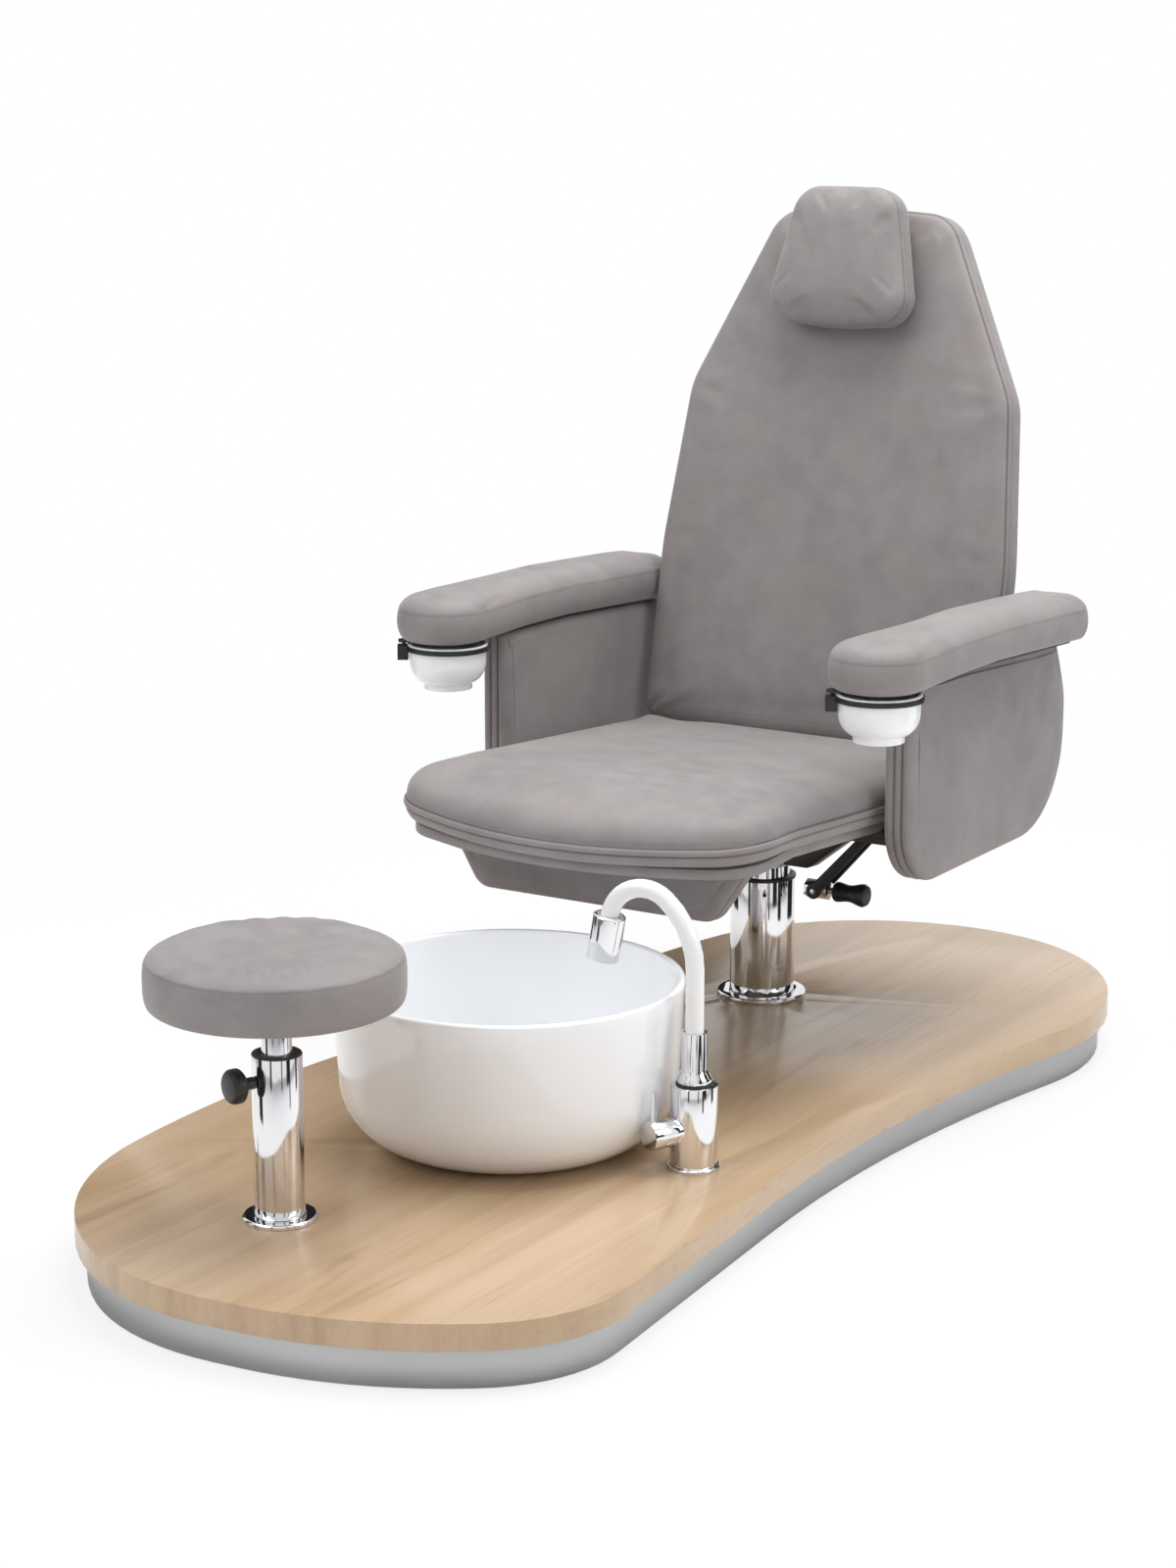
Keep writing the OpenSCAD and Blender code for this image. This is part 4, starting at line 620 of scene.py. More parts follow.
class Pad:
    """A sewn, filled form: rings of points from its underside to its crown, closed by grids"""

    def __init__(self, line, corners, place, bend=None, spacing=None):
        step = spacing or look().chair_upholstery.rings_round / MM
        self.line, self.counts = four_sides(line, corners, step)
        self.normal = inward(self.line)
        self.place = place
        self.bend = bend
        self.rings = []
        self.seam = []
        self.free = []
        self.crown = 0.0

    def ring(self, inset, height, seam, free):
        flat = self.line + self.normal * inset
        self.rings.append(np.column_stack([flat, np.full(len(flat), float(height))]))
        self.seam.append(seam)
        self.free.append(free)

    def stretch(self, profile, last_seam, free):
        """Rings along a profile after its first point, whose ring is there already"""
        last = len(profile) - 1
        for i, (inset, height) in enumerate(profile[1:], 1):
            self.ring(inset, height, *((last_seam, 0.0) if i == last else (0.0, free)))

    def sew(self, foot, side, welt, roll, crown, seam_sink_and_shade=1.0, side_free=0.4, roll_free=1.0):
        """Its foot, side, welt band and crown, from the underside up"""
        for inset, height in foot:
            self.ring(inset, height, 0.0, 0.0)
        # The seam weight at a seam ring both sinks that seam and gives it painted shade in the
        # leatherette
        self.stretch(side, seam_sink_and_shade, side_free)
        self.stretch(welt, seam_sink_and_shade, WELT_FREE)
        self.stretch(roll, 0.0, roll_free)
        self.free[-1] = 1.0
        self.crown = crown

    def grid(self, ring, rise):
        """A patch of points that spans a ring, raised in its middle"""
        na, nb = self.counts
        n = len(ring)
        u = np.linspace(0, 1, na + 1)[:, None, None]
        v = np.linspace(0, 1, nb + 1)[None, :, None]
        low, high = ring[:na + 1][:, None], ring[[(2 * na + nb - i) % n for i in range(na + 1)]][:, None]
        left, right = ring[[-j % n for j in range(nb + 1)]][None], ring[na:na + nb + 1][None]
        a, b, c, d = ring[0], ring[na], ring[na + nb], ring[2 * na + nb]
        patch = (1 - v) * low + v * high + (1 - u) * left + u * right
        patch -= (1 - u) * (1 - v) * a + u * (1 - v) * b + u * v * c + (1 - u) * v * d
        swell_u = 1 - np.abs(2 * u - 1) ** CROWN_POWER
        swell_v = 1 - np.abs(2 * v - 1) ** CROWN_POWER
        patch[..., 2:] += rise * swell_u * swell_v
        return patch

    def make(self, name):
        count, around = len(self.rings), len(self.line)
        na, nb = self.counts
        flat = [np.vstack(self.rings)]
        seam = [np.repeat(self.seam, around)]
        free = [np.repeat(self.free, around)]
        faces = []
        for k in range(count - 1):
            for i in range(around):
                a, b = k * around + i, k * around + (i + 1) % around
                faces.append((a, b, b + around, a + around))
        total = count * around
        for ring, rise, held, first in (
            (self.rings[0], 0.0, 0.0, 0),
            (self.rings[-1], self.crown, 1.0, (count - 1) * around),
        ):
            patch = self.grid(ring, rise)
            index = np.zeros((na + 1, nb + 1), int)
            index[:, 0] = first + np.arange(na + 1)
            index[:, nb] = first + (2 * na + nb - np.arange(na + 1)) % around
            index[0, :] = first + (-np.arange(nb + 1)) % around
            index[na, :] = first + na + np.arange(nb + 1)
            inner = (na - 1) * (nb - 1)
            index[1:na, 1:nb] = total + np.arange(inner).reshape(na - 1, nb - 1)
            total += inner
            flat.append(patch[1:na, 1:nb].reshape(-1, 3))
            seam.append(np.zeros(inner))
            free.append(np.full(inner, held))
            for i in range(na):
                for j in range(nb):
                    face = (index[i, j], index[i + 1, j], index[i + 1, j + 1], index[i, j + 1])
                    faces.append(tuple(int(f) for f in face))
        flat = np.vstack(flat)
        if self.bend is not None:
            flat[:, 2] += self.bend(flat)
        turn = np.array(self.place)
        world = flat @ turn[:3, :3].T + turn[:3, 3]
        mesh = bpy.data.meshes.new(name)
        mesh.from_pydata(world.tolist(), [], faces)
        obj = bpy.data.objects.new(name, mesh)
        bpy.context.scene.collection.objects.link(obj)
        layer = mesh.attributes.new("seam", "FLOAT", "POINT")
        layer.data.foreach_set("value", np.concatenate(seam).astype(np.float32))
        pins = obj.vertex_groups.new(name="held")
        held = 1.0 - np.concatenate(free)
        for weight in sorted(set(held.tolist())):
            pins.add(np.nonzero(held == weight)[0].tolist(), weight, "REPLACE")
        only(obj)
        bpy.ops.object.mode_set(mode="EDIT")
        bpy.ops.mesh.select_all(action="SELECT")
        bpy.ops.mesh.normals_make_consistent(inside=False)
        bpy.ops.object.mode_set(mode="OBJECT")
        return obj


def fill_out(obj, cap):
    """Blows the cover out between its seams as its filling does, by cap at the most"""
    scene = bpy.context.scene
    start = np.empty(len(obj.data.vertices) * 3, np.float32)
    obj.data.vertices.foreach_get("co", start)
    cloth = obj.modifiers.new("Filling", "CLOTH")
    for name, value in FILLING.items():
        setattr(cloth.settings, name, value)
    cloth.settings.effector_weights.gravity = 0.0
    cloth.collision_settings.use_collision = False
    cloth.point_cache.frame_start = 1
    cloth.point_cache.frame_end = FILL_FRAMES
    for number in range(1, FILL_FRAMES + 1):
        scene.frame_set(number)
    graph = bpy.context.evaluated_depsgraph_get()
    moved = np.empty(len(start), np.float32)
    obj.evaluated_get(graph).data.vertices.foreach_get("co", moved)
    obj.modifiers.remove(cloth)
    scene.frame_set(1)
    shift = (moved - start).reshape(-1, 3)
    length = np.linalg.norm(shift, axis=1)
    shift *= np.minimum(1.0, cap / np.maximum(length, 1e-9))[:, None]
    obj.data.vertices.foreach_set("co", (start.reshape(-1, 3) + shift).ravel())
    obj.data.update()


def sink_seams(obj):
    """Pulls the sewn lines in after the last subdivision"""
    depth = look().chair_upholstery.seam_depth
    mesh = obj.data
    count = len(mesh.vertices)
    seam = np.empty(count, np.float32)
    mesh.attributes["seam"].data.foreach_get("value", seam)
    co = np.empty(count * 3, np.float32)
    mesh.vertices.foreach_get("co", co)
    normal = np.empty(count * 3, np.float32)
    mesh.vertex_normals.foreach_get("vector", normal)
    pull = depth * np.clip(seam, 0, 1) ** SEAM_POWER
    co = co.reshape(-1, 3) - normal.reshape(-1, 3) * pull[:, None]
    mesh.vertices.foreach_set("co", co.ravel())
    mesh.update()


def upholster(pad, name, node, cap):
    """Makes a pad, fills it, refines it, sews its seams and puts it in its node's place"""
    obj = pad.make(name)
    fill_out(obj, cap)
    subdivision = obj.modifiers.new("Refine", "SUBSURF")
    subdivision.levels = 1
    subdivision.render_levels = 1
    apply_all(obj)
    sink_seams(obj)
    obj.vertex_groups.clear()
    only(obj)
    bpy.ops.object.shade_smooth()
    stand_in(obj, node)
    return obj


def mirrored(obj, name, node):
    """The same piece for the chair's other side"""
    copy = copied(obj, name)
    copy.data.transform(Matrix.Scale(-1, 4, (1, 0, 0)))
    copy.data.flip_normals()
    stand_in(copy, node)


# Frames of the pieces, and the fall of the armrests and panels behind their crest

ARM_CREST = -60.0
ARM_DROP = 15.0
ARM_FALL = 322.0
SEAT_FALL_FROM = 430.0
SEAT_FALL_OVER = 211.0
SEAT_FALL = 27.0
SEAT_Z = 455.0
SEAT_RAKE = math.radians(3.8)
BASIN_LEAN = math.radians(3.0)
HINGE = Vector((0.0, 190.0, 455.0))
BACK_TILT = math.radians(11.3)
SCALE = Matrix.Scale(MM, 4)
SEAT_PLACE = SCALE @ Matrix.Translation((0, 0, SEAT_Z)) @ Matrix.Rotation(-SEAT_RAKE, 4, "X")
BACK_PLACE = SCALE @ Matrix.Translation(HINGE) @ Matrix.Rotation(
    math.pi / 2 - BACK_TILT, 4, "X"
)
UPRIGHT = Matrix(((0, 0, 1, 0), (1, 0, 0, 0), (0, 1, 0, 0), (0, 0, 0, 1)))


def seat_fall(points):
    """The seat's front edge falls away in a curve"""
    reach = np.maximum(0, -points[:, 1] - SEAT_FALL_FROM) / SEAT_FALL_OVER
    return -SEAT_FALL * reach**2


class CHAIR_OT_seat(bpy.types.Operator):
    """Seat cushion with its welt band and lower boxing"""

    bl_idname = "chair.seat"
    bl_label = "Seat cushion"

    def execute(self, context):
        half, front, rear = 305.0, 641.0, 141.0
        bow = 0.20 * 2 * half
        side_front = -front + 0.59 * bow
        line = rounded(
            [
                (half, rear), (-half, rear), (-half, side_front),
                (0, -front - 0.41 * bow), (half, side_front),
            ],
            [30, 30, 100, 1.057 * 2 * half, 100],
        )
        corners = [(half, rear), (-half, rear), (-half, side_front), (half, side_front)]
        pad = Pad(line, corners, SEAT_PLACE, seat_fall)
        crown = 46.0
        foot, band, seam = (12.5, -28.6), (SEAM_IN, -11), (SEAM_IN, 0)
        roll = curve_through([
            seam, (-0.6, 5), (0.6, 0.36 * crown), (7, 0.59 * crown),
            (18, 0.755 * crown), (26, 0.82 * crown),
        ], 13)
        pad.sew(
            [(16, -29), foot], swell(foot, band, 2.6, 6), swell(band, seam, 3.4, 6), roll,
            0.18 * crown, side_free=0.5,
        )
        upholster(pad, "seat_cover", "seat_cushion", 0.005)
        return {"FINISHED"}


class CHAIR_OT_backrest(bpy.types.Operator):
    """Tall back cushion that narrows above the shoulders"""

    bl_idname = "chair.backrest"
    bl_label = "Backrest"

    def execute(self, context):
        half, shoulder, top = 305.0, 281.0, 150.0
        length, bottom = 842.0, 9.0
        corners = [
            (half, bottom), (half, 300), (shoulder, 557), (top, length - 6), (0, length + 4),
            (-top, length - 6), (-shoulder, 557), (-half, 300), (-half, bottom),
        ]
        line = rounded(corners, [28, 610, 120, 62, 610, 62, 120, 610, 28])
        sides = [(half, bottom), (top, length), (-top, length), (-half, bottom)]
        pad = Pad(line, sides, BACK_PLACE)
        rear, band, seam, crown = 5.4, 36.0, 47.0, 15.0
        foot = (4.5, rear + 0.4)
        side = curve_through(
            [foot, (0.6, rear + 5), (-0.3, 22), (0.2, band - 4), (SEAM_IN, band)], 10
        )
        roll = curve_through([
            (SEAM_IN, seam), (0.8, seam + 4), (4, seam + 0.52 * crown),
            (12, seam + 0.76 * crown), (24, seam + 0.9 * crown),
        ], 10)
        welt = swell((SEAM_IN, band), (SEAM_IN, seam), 3.2, 6)
        pad.sew([(8, rear), foot], side, welt, roll, 0.1 * crown)
        upholster(pad, "backrest_cover", "backrest_cushion", 0.003)
        return {"FINISHED"}


class CHAIR_OT_headrest(bpy.types.Operator):
    """Headrest pillow in front of the top of the back"""

    bl_idname = "chair.headrest"
    bl_label = "Headrest pillow"

    def execute(self, context):
        low, tall = 655.0, 212.0
        sides = [(127, low + 4), (83, low + tall), (-83, low + tall), (-127, low + 4)]
        line = rounded(sides + [(0, low - 6)], [44, 48, 48, 44, 508])
        pad = Pad(line, sides, BACK_PLACE, spacing=5.0)
        rear, crown = 66.4, 28.0
        seam = rear + 45.0
        band = seam - 11.0
        foot = (16, rear)
        side = curve_through(
            [foot, (6, rear + 3), (0.6, rear + 13), (0, band - 6), (NARROW_SEAM_IN, band)], 10
        )
        roll = curve_through([
            (NARROW_SEAM_IN, seam), (0.6, seam + 4), (3, seam + 0.36 * crown),
            (10, seam + 0.62 * crown), (20, seam + 0.80 * crown),
        ], 9)
        welt = swell((NARROW_SEAM_IN, band), (NARROW_SEAM_IN, seam), 3.0, 6)
        pad.sew([foot], side, welt, roll, 0.2 * crown, side_free=0.5)
        upholster(pad, "headrest_cover", "headrest_pillow", 0.003)
        return {"FINISHED"}


def arm_slope(points):
    """The armrest falls from its crest to its rear end"""
    return -ARM_DROP * np.maximum(0, points[:, 1] - ARM_CREST) / ARM_FALL


class CHAIR_OT_armrests(bpy.types.Operator):
    """Two armrests, wide and round in front"""

    bl_idname = "chair.armrests"
    bl_label = "Armrests"

    def execute(self, context):
        middle, half, bulb = 369.0, 60.0, 76.0
        reach, rear, neck = 330.0, 262.0, 190.0
        head = middle - 5.0
        rear_corners = [(middle + half, rear), (middle - half, rear)]
        head_corners = [(head - bulb, -reach - bulb), (head + bulb, -reach - bulb)]
        line = rounded(
            rear_corners + [(middle - half, -neck)] + head_corners + [(middle + half, -neck)],
            [34, 34, 260, 0.92 * bulb, 0.92 * bulb, 260],
        )
        place = SCALE @ Matrix.Translation((0, 0, 670.3))
        corners = rear_corners + head_corners
        pad = Pad(line, corners, place, arm_slope, spacing=5.5)
        seam, crown = 46.0, 26.0
        foot = (18, 0)
        side = curve_through([
            foot, (8, 3), (2, 0.28 * seam), (-0.6, 0.6 * seam), (0.2, 0.88 * seam), (1.2, seam),
        ], 14)
        roll = curve_through([
            (1.2, seam), (2.6, seam + 5), (8, seam + 0.5 * crown),
            (18, seam + 0.77 * crown), (30, seam + 0.93 * crown),
        ], 11)
        pad.sew([foot], side, [], roll, 0.07 * crown, HAIRLINE, 0.5)
        right = upholster(pad, "armrest_cover_right", "armrest_right", 0.0018)
        mirrored(right, "armrest_cover_left", "armrest_left")
        return {"FINISHED"}


class CHAIR_OT_side_panels(bpy.types.Operator):
    """Two padded side panels, each an inner and an outer pad with a band between"""

    bl_idname = "chair.side_panels"
    bl_label = "Side panels"

    def execute(self, context):
        front, rear, low = -233.0, 303.0, 355.0
        neck, top = 265.0, 665.0

        def height(y):
            return top - ARM_DROP * max(0.0, y - ARM_CREST) / ARM_FALL

        corners = np.array([
            (front, height(front)), (front, low), (rear, low),
            (rear, height(neck) - 90), (neck, height(neck)),
        ], float)
        line = np.vstack([
            corner_arc(corners[0], corners[1], corners[2], 92, CORNER_STEPS),
            corner_arc(corners[1], corners[2], corners[3], 150, 60),
            corner_arc(corners[2], corners[3], corners[4], 120, 20),
            [(neck, height(neck)), (ARM_CREST, top), (front, top)],
        ])
        place = SCALE @ Matrix.Translation((320, 0, 0)) @ UPRIGHT
        pad = Pad(line, [corners[1], corners[2], corners[4], corners[0]], place, spacing=6.5)
        thick = 50.0
        inner, outer = 0.40 * thick, 0.64 * thick
        foot = (22, 1.2)
        side = curve_through([foot, (8, 3), (1, 8), (-0.4, 14), (SEAM_IN, inner)], 10)
        roll = curve_through([
            (SEAM_IN, outer), (-0.2, outer + 4), (1.5, 0.87 * thick),
            (8, 0.955 * thick), (22, thick - 1),
        ], 10)
        welt = swell((SEAM_IN, inner), (SEAM_IN, outer), 3.2, 6)
        pad.sew([foot], side, welt, roll, 1.0, roll_free=0.6)
        right = upholster(pad, "side_panel_cover_right", "side_panel_right", 0.002)
        mirrored(right, "side_panel_cover_left", "side_panel_left")
        return {"FINISHED"}


class CHAIR_OT_apron(bpy.types.Operator):
    """Padded apron under the front of the seat"""

    bl_idname = "chair.apron"
    bl_label = "Apron"

    def execute(self, context):
        top, tall = -53.0, 89.0
        corners = [(254, top), (-254, top), (-196, top - tall), (196, top - tall)]
        line = rounded(corners, [12, 12, 34, 34])
        place = SEAT_PLACE @ Matrix.Translation((0, -459, 0)) @ Matrix.Rotation(
            math.pi / 2, 4, "X"
        )
        pad = Pad(line, corners, place, spacing=6.0)
        foot, band, seam = (10, 0.3), (NARROW_SEAM_IN, 20), (NARROW_SEAM_IN, 28)
        side = curve_through([foot, (3, 2), (0, 7), (0, 15), band], 8)
        roll = curve_through([seam, (0.8, 31), (4, 36), (12, 39), (20, 39.6)], 8)
        pad.sew([foot], side, swell(band, seam, 2.8, 5), roll, 0.4, roll_free=0.6)
        upholster(pad, "apron_cover", "apron", 0.0015)
        return {"FINISHED"}


class CHAIR_OT_stool_pad(bpy.types.Operator):
    """Round pad of the foot stool"""

    bl_idname = "chair.stool_pad"
    bl_label = "Stool pad"

    def execute(self, context):
        low, high = (np.array(corner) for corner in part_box("stool_cushion"))
        centre = (low + high) / 2 / MM
        radius = (high[0] - low[0]) / 2 / MM
        base, tall = low[2] / MM, (high[2] - low[2]) / MM
        angles = np.linspace(0, 2 * math.pi, 400, endpoint=False)
        line = radius * np.stack([np.cos(angles), np.sin(angles)], 1)
        place = SCALE @ Matrix.Translation((centre[0], centre[1], base))
        corners = [(radius, 0), (0, radius), (-radius, 0), (0, -radius)]
        pad = Pad(line, corners, place, spacing=6.0)
        seam = 60.0
        foot = (12, 0.2)
        side = curve_through(
            [foot, (4, 3), (0.6, 14), (-0.2, 0.5 * seam), (0.6, seam - 8), (2.2, seam)], 13
        )
        crown = tall - seam
        roll = curve_through([
            (2.2, seam), (3.4, seam + 4), (9, seam + 0.42 * crown),
            (22, seam + 0.66 * crown), (36, seam + 0.80 * crown),
        ], 11)
        pad.sew([foot], side, [], roll, 0.2 * crown, HAIRLINE, 0.6)
        upholster(pad, "stool_cover", "stool_cushion", 0.0025)
        return {"FINISHED"}


class CHAIR_OT_platform(bpy.types.Operator):
    """Oak board, plinth band, core and feet"""

    bl_idname = "chair.platform"
    bl_label = "Platform"

    def execute(self, context):
        return finish_pieces({
            "platform_board": context.scene.chair_platform.edge / MM, "plinth_skirt": 0.3,
            "plinth_core": 1.0, "levelling_feet": 1.2,
        }, BOARD_SMOOTH_UNDER)


class CHAIR_OT_column(bpy.types.Operator):
    """Column, lift, swivel head, arms and release lever"""

    bl_idname = "chair.column"
    bl_label = "Column and lift"

    def execute(self, context):
        return finish_pieces({
            "column_base": 0.6, "column_bolts": 0.4, "column_flange": 0.7, "column_tube": 0.6,
            "column_guide_ring": 0.8, "gas_spring_cylinder": 0.6, "lift_tube": 0.8,
            "gas_spring_rod": 0.5, "swivel_bearing": 0.4, "swivel_head": 2.0,
            "support_arms": 2.5, "lever_bracket": 0.6, "lever_boss": 1.2, "lever_knob": 1.4,
            "seat_frame": 1.2, "seat_board": 1.0,
        })


class CHAIR_OT_back_fittings(bpy.types.Operator):
    """Hinge brackets, hinge arms, back board and headrest fittings"""

    bl_idname = "chair.back_fittings"
    bl_label = "Back fittings"

    def execute(self, context):
        return finish_pieces({
            "recline_brackets": 0.8, "back_hinge_arms": 1.2, "backrest_board": 3.5,
            "headrest_guide": 1.2, "headrest_bracket": 1.0,
            "armrest_plate_left": 0.8, "armrest_plate_right": 0.8,
        })


class CHAIR_OT_bowls(bpy.types.Operator):
    """Nail bowls and their swinging rings"""

    bl_idname = "chair.bowls"
    bl_label = "Nail bowls"

    def execute(self, context):
        return finish_pieces({
            "bowl_ring_left": 0.9, "nail_bowl_left": 0.7,
            "bowl_ring_right": 0.9, "nail_bowl_right": 0.7,
        })


def turned(name, centre, profile, sides, node, degrees):
    """A round piece, drawn out ring by ring from a circle along its profile in millimetres"""
    x, y, z = centre
    radius, height = profile[0]
    bpy.ops.object.select_all(action="DESELECT")
    bpy.ops.mesh.primitive_circle_add(
        vertices=sides, radius=radius * MM, fill_type="NOTHING",
        location=(x * MM, y * MM, (z + height) * MM),
    )
    obj = bpy.context.object
    obj.name = name
    bpy.ops.object.transform_apply(location=True, rotation=True, scale=True)
    bpy.ops.object.mode_set(mode="EDIT")
    bpy.ops.mesh.select_all(action="SELECT")
    for wide, high in profile[1:]:
        bpy.ops.mesh.extrude_region_move(
            TRANSFORM_OT_translate={"value": (0, 0, (high - height) * MM)}
        )
        scale = wide / radius
        bpy.ops.transform.resize(
            value=(scale, scale, 1.0), center_override=(x * MM, y * MM, (z + high) * MM)
        )
        radius, height = wide, high
    bpy.ops.mesh.select_all(action="SELECT")
    bpy.ops.mesh.remove_doubles(threshold=0.00001)
    bpy.ops.mesh.select_non_manifold()
    bpy.ops.mesh.fill_holes(sides=0)
    bpy.ops.mesh.select_all(action="SELECT")
    bpy.ops.mesh.normals_make_consistent(inside=False)
    bpy.ops.object.mode_set(mode="OBJECT")
    smooth(obj, degrees)
    stand_in(obj, node)


def arc(centre, radius, begin, end, count):
    """Points of an arc, from one angle to another"""
    return [
        (centre[0] + radius * math.cos(a), centre[1] + radius * math.sin(a))
        for a in np.linspace(begin, end, count)
    ]


def straight(a, b, count):
    """Points on the straight line from a to b"""
    return [(a[0] + (b[0] - a[0]) * s, a[1] + (b[1] - a[1]) * s) for s in np.linspace(0, 1, count)]


def basin_profile(rim, tall, corner, wall, lean, hole):
    """Outline of the basin's wall, from its floor's underside over the lip to its floor"""
    under_lip, floor_ring, floor_end = 5, 40, 20
    low = rim - (tall - corner) * math.tan(lean)
    centre = (low - corner * math.cos(lean), corner)
    outer = arc(centre, corner, -math.pi / 2, -lean, 15)
    wall_up = straight(outer[-1], (rim, tall - under_lip), 7)[1:]
    lip = arc((rim - wall / 2, tall - wall / 2), wall / 2, 0, math.pi, 11)[1:]
    inner = arc(centre, corner - wall, -lean, -math.pi / 2, 15)
    wall_down = straight(lip[-1], inner[0], 7)[1:-1]
    floor_out = [(hole, 0.0), (hole + floor_ring, 0.0), (outer[0][0] - floor_end, 0.0)]
    floor_in = [(inner[-1][0] - floor_end, wall), (hole + floor_ring, wall), (hole, wall)]
    return floor_out + outer + wall_up + lip + wall_down + inner + floor_in


class CHAIR_OT_basin(bpy.types.Operator):
    """Foot basin, waste and plug"""

    bl_idname = "chair.basin"
    bl_label = "Foot basin"

    def execute(self, context):
        low, high = (np.array(corner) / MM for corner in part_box("basin"))
        rim, tall = (high[1] - low[1]) / 2, high[2] - low[2]
        centre = ((low[0] + high[0]) / 2, (low[1] + high[1]) / 2, low[2])
        profile = basin_profile(rim, tall, 95.0, 10.0, BASIN_LEAN, 20.3)
        turned("basin_bowl", centre, profile, 160, "basin", 50.0)
        return finish_pieces({"basin_waste": 0.5, "basin_plug": 0.6})


class CHAIR_OT_tap(bpy.types.Operator):
    """Tap with its hose spout, spray head and lever"""

    bl_idname = "chair.tap"
    bl_label = "Tap"

    def execute(self, context):
        return finish_pieces({
            "tap_flange": 0.5, "tap_body": 1.2, "tap_seal": 0.6, "tap_lever": 0.8,
            "spout_collar": 0.6, "spout_hose": 0.6, "spray_head": 0.6, "spray_face": 0.4,
        })


class CHAIR_OT_stool_stand(bpy.types.Operator):
    """Stool post, tube, bush, plate and clamp knob"""

    bl_idname = "chair.stool_stand"
    bl_label = "Stool stand"

    def execute(self, context):
        return finish_pieces({
            "stool_flange": 0.6, "stool_post": 0.6, "stool_guide_bush": 0.6, "stool_knob": 1.5,
            "stool_stem": 0.6, "stool_plate": 0.6, "stool_board": 1.0,
        })


# The studio

LAMP_AIM = Vector((0.0, -0.4, 0.5))

# Cards that darken the chrome: name, azimuth in degrees, width
CARD_COLOUR = (0.02, 0.02, 0.02, 1.0)
FAR_CARDS = (
    ("card_left", -72, 1.5), ("card_right", 78, 1.3), ("card_near", 8, 0.5),
    ("card_mid", 50, 0.35), ("card_back", 150, 2.2), ("card_far", -140, 2.0),
)
NEAR_STRIPS = (
    ("strip_left", -24, 0.30), ("strip_edge", -96, 0.75), ("strip_right", 108, 0.34),
    ("strip_mid", 66, 0.14), ("strip_back", 152, 0.60),
)


def studio_floor():
    """A pale floor that the camera sees as white, but for the object's soft shadow"""
    m = Maker("Studio floor")
    white = m.tree.nodes.new("ShaderNodeEmission")
    white.inputs["Color"].default_value = (1.0, 1.0, 1.0, 1.0)
    reach = m.node("ShaderNodeVectorMath", {"operation": "LENGTH"}, {0: m.coords}, "Value")
    rays = m.node("ShaderNodeLightPath", {}, {}, "Is Camera Ray")
    share = rays * (0.80 + 0.20 * reach.above(1.3, 3.2))
    blend = m.node("ShaderNodeMixShader", {}, {"Fac": share})
    m.tree.links.new(m.shader.outputs[0], blend.socket.node.inputs[1])
    m.tree.links.new(white.outputs[0], blend.socket.node.inputs[2])
    m.tree.links.new(blend.socket, m.tree.nodes["Material Output"].inputs["Surface"])
    return m.finish(Base_Color=(0.86, 0.86, 0.86, 1.0), Roughness=0.9, Specular_IOR_Level=0.1)


def lamp(name, place, size, power):
    """A soft square lamp that looks at the chair"""
    data = bpy.data.lights.new(name, "AREA")
    data.shape = "RECTANGLE"
    data.size, data.size_y = size
    data.energy = power
    obj = bpy.data.objects.new(name, data)
    obj.location = place
    obj.rotation_euler = (LAMP_AIM - Vector(place)).to_track_quat("-Z", "Y").to_euler()
    bpy.context.scene.collection.objects.link(obj)


def dark_card(name, azimuth, distance, width, tall):
    """A tall card that only shows in polished metal"""
    a = math.radians(azimuth)
    place = (distance * math.sin(a), -0.5 - distance * math.cos(a), tall / 2)
    bpy.ops.object.select_all(action="DESELECT")
    bpy.ops.mesh.primitive_plane_add(size=1.0, location=place, rotation=(math.pi / 2, 0, a))
    card = bpy.context.object
    card.name = name
    card.scale = (width, tall, 1.0)
    for rays in ("camera", "diffuse", "shadow", "transmission"):
        setattr(card, "visible_" + rays, False)
    card.data.materials.append(
        Maker(name).finish(Base_Color=CARD_COLOUR, Roughness=1.0, Specular_IOR_Level=0.0)
    )


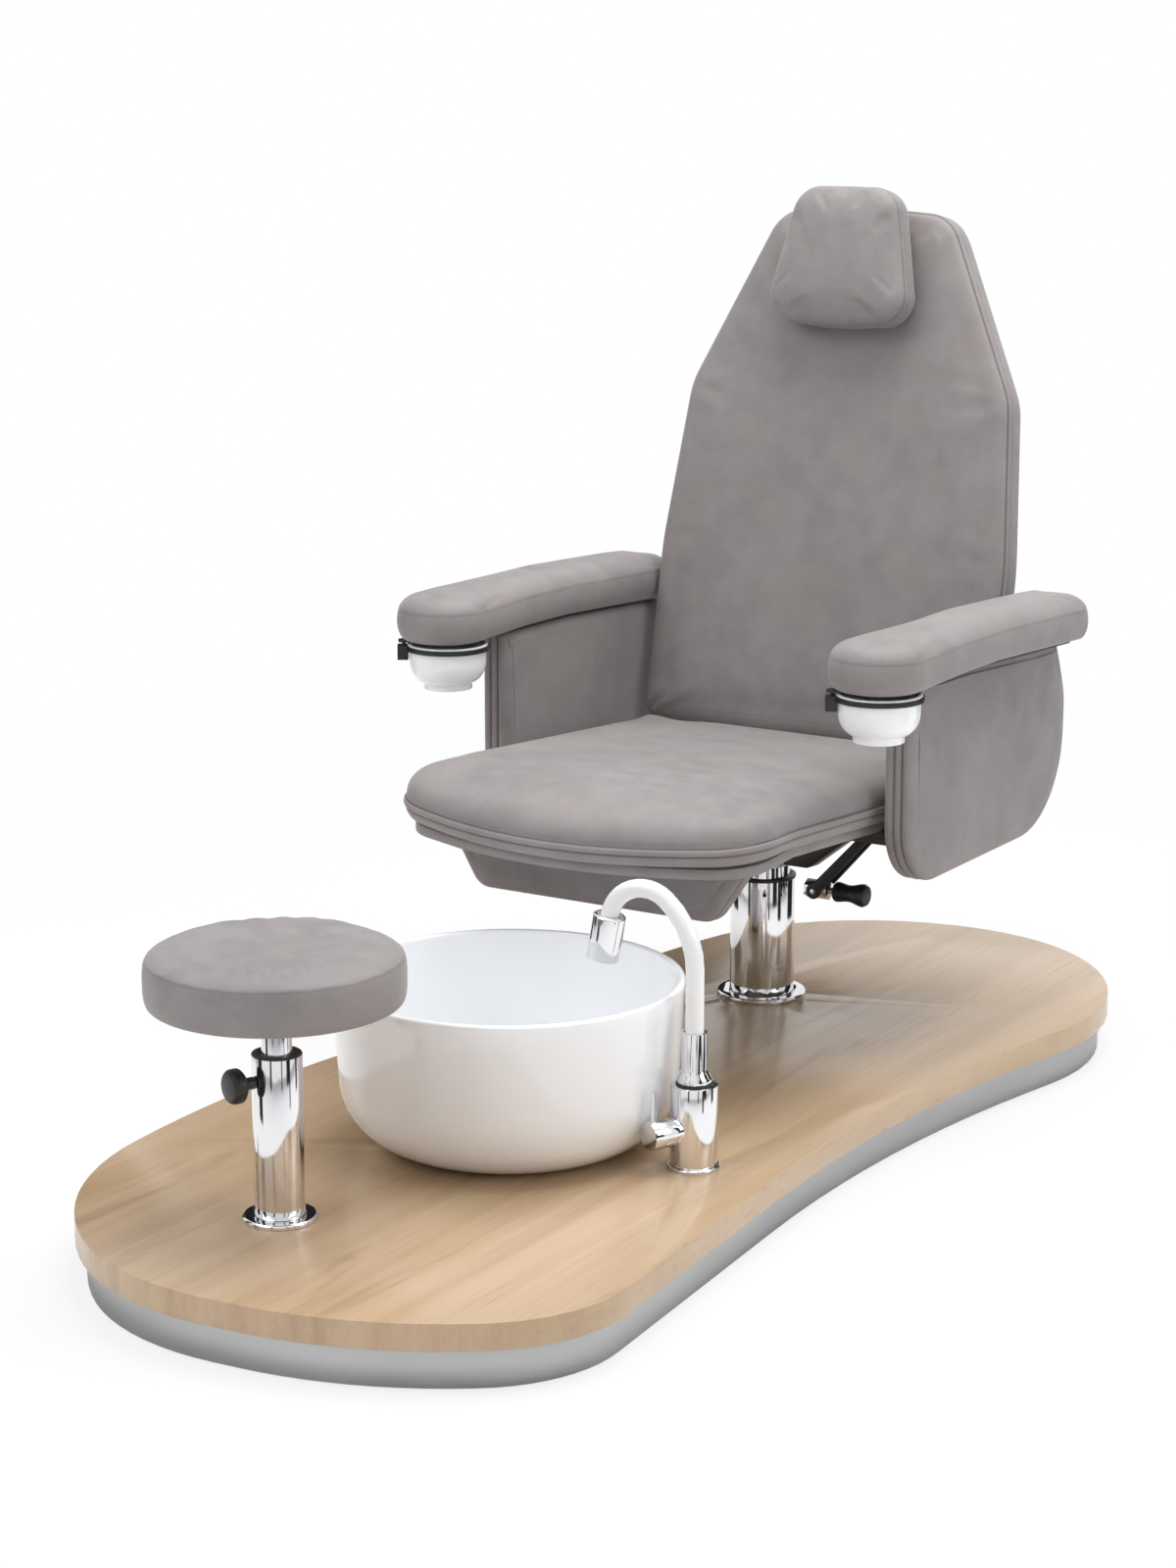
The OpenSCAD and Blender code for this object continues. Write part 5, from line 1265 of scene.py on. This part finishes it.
class CHAIR_OT_stage(bpy.types.Operator):
    """Floor, world, lamps, cards and camera"""

    bl_idname = "chair.stage"
    bl_label = "Studio"

    def execute(self, context):
        scene = context.scene
        studio = scene.chair_studio
        bpy.ops.object.select_all(action="DESELECT")
        bpy.ops.mesh.primitive_plane_add(size=40.0, location=(0, 0, 0))
        floor = context.object
        floor.name = "studio_floor"
        floor.data.materials.append(studio_floor())
        self.world(scene, studio)
        lamp("Key", (-1.6, -3.4, 3.6), (2.6, 2.2), 58)
        lamp("Top", (0.6, 0.2, 4.2), (3.2, 3.2), 160)
        lamp("Side", (3.8, -0.6, 2.2), (2.0, 2.4), 30)
        for name, azimuth, width in FAR_CARDS:
            dark_card(name, azimuth, 4.6, width, 3.6)
        for name, azimuth, width in NEAR_STRIPS:
            dark_card(name, azimuth, 1.55, width, 0.95)
        camera = bpy.data.objects.new("camera", bpy.data.cameras.new("camera"))
        camera.data.lens = studio.lens
        camera.data.sensor_width = 36.0
        camera.data.sensor_fit = "AUTO"
        camera.data.clip_end = 100.0
        camera.location = studio.place
        camera.rotation_euler = (math.pi / 2 - studio.pitch, 0.0, studio.azimuth)
        scene.collection.objects.link(camera)
        scene.camera = camera
        scene.view_settings.view_transform = "Standard"
        return {"FINISHED"}

    def world(self, scene, studio):
        """White for the camera and in mirrors, daylight for everything else"""
        scene.world = bpy.data.worlds.new("Studio")
        scene.world.use_nodes = True
        tree = scene.world.node_tree
        tree.nodes.clear()
        daylight, white, rays, seen, glass, blend, output = (
            tree.nodes.new("ShaderNode" + kind) for kind in (
                "Background", "Background", "LightPath", "Math", "Math", "MixShader",
                "OutputWorld",
            )
        )
        daylight.inputs["Color"].default_value = (0.97, 0.985, 1.0, 1.0)
        daylight.inputs["Strength"].default_value = studio.daylight
        white.inputs["Color"].default_value = (1.0, 1.0, 1.0, 1.0)
        seen.operation = glass.operation = "MAXIMUM"
        for source, target in (
            (rays.outputs["Is Camera Ray"], seen.inputs[0]),
            (rays.outputs["Is Glossy Ray"], seen.inputs[1]),
            (seen.outputs[0], glass.inputs[0]),
            (rays.outputs["Is Transmission Ray"], glass.inputs[1]),
            (glass.outputs[0], blend.inputs["Fac"]),
            (daylight.outputs[0], blend.inputs[1]),
            (white.outputs[0], blend.inputs[2]),
            (blend.outputs[0], output.inputs["Surface"]),
        ):
            tree.links.new(source, target)


class CHAIR_PT_panel(bpy.types.Panel):
    """Lists the chair's pieces and their sizes"""

    bl_idname = "CHAIR_PT_panel"
    bl_label = "Podiatry chair"
    bl_space_type = "VIEW_3D"
    bl_region_type = "UI"
    bl_category = "Podiatry chair"

    def draw(self, context):
        layout = self.layout
        for operator in OPERATORS:
            layout.operator(operator.bl_idname)
        for group_name in GROUPS:
            group = getattr(context.scene, group_name)
            box = layout.box()
            for name in group.bl_rna.properties.keys():
                if name not in ("rna_type", "name"):
                    box.prop(group, name)


OPERATORS = (
    CHAIR_OT_stage, CHAIR_OT_platform, CHAIR_OT_column, CHAIR_OT_back_fittings, CHAIR_OT_bowls,
    CHAIR_OT_basin, CHAIR_OT_tap, CHAIR_OT_stool_stand, CHAIR_OT_seat, CHAIR_OT_backrest,
    CHAIR_OT_headrest, CHAIR_OT_armrests, CHAIR_OT_side_panels, CHAIR_OT_apron,
    CHAIR_OT_stool_pad,
)
GROUPS = {
    "chair_upholstery": UpholsteryLook, "chair_platform": PlatformLook,
    "chair_studio": StudioLook,
}
CLASSES = (*GROUPS.values(), *OPERATORS, CHAIR_PT_panel)


def register():
    for cls in CLASSES:
        bpy.utils.register_class(cls)
    for name, group in GROUPS.items():
        setattr(bpy.types.Scene, name, PointerProperty(type=group))


def unregister():
    for name in GROUPS:
        delattr(bpy.types.Scene, name)
    for cls in reversed(CLASSES):
        bpy.utils.unregister_class(cls)


def main():
    register()
    for operator in OPERATORS:
        group, name = operator.bl_idname.split(".")
        getattr(getattr(bpy.ops, group), name)()


if __name__ == "__main__":
    main()
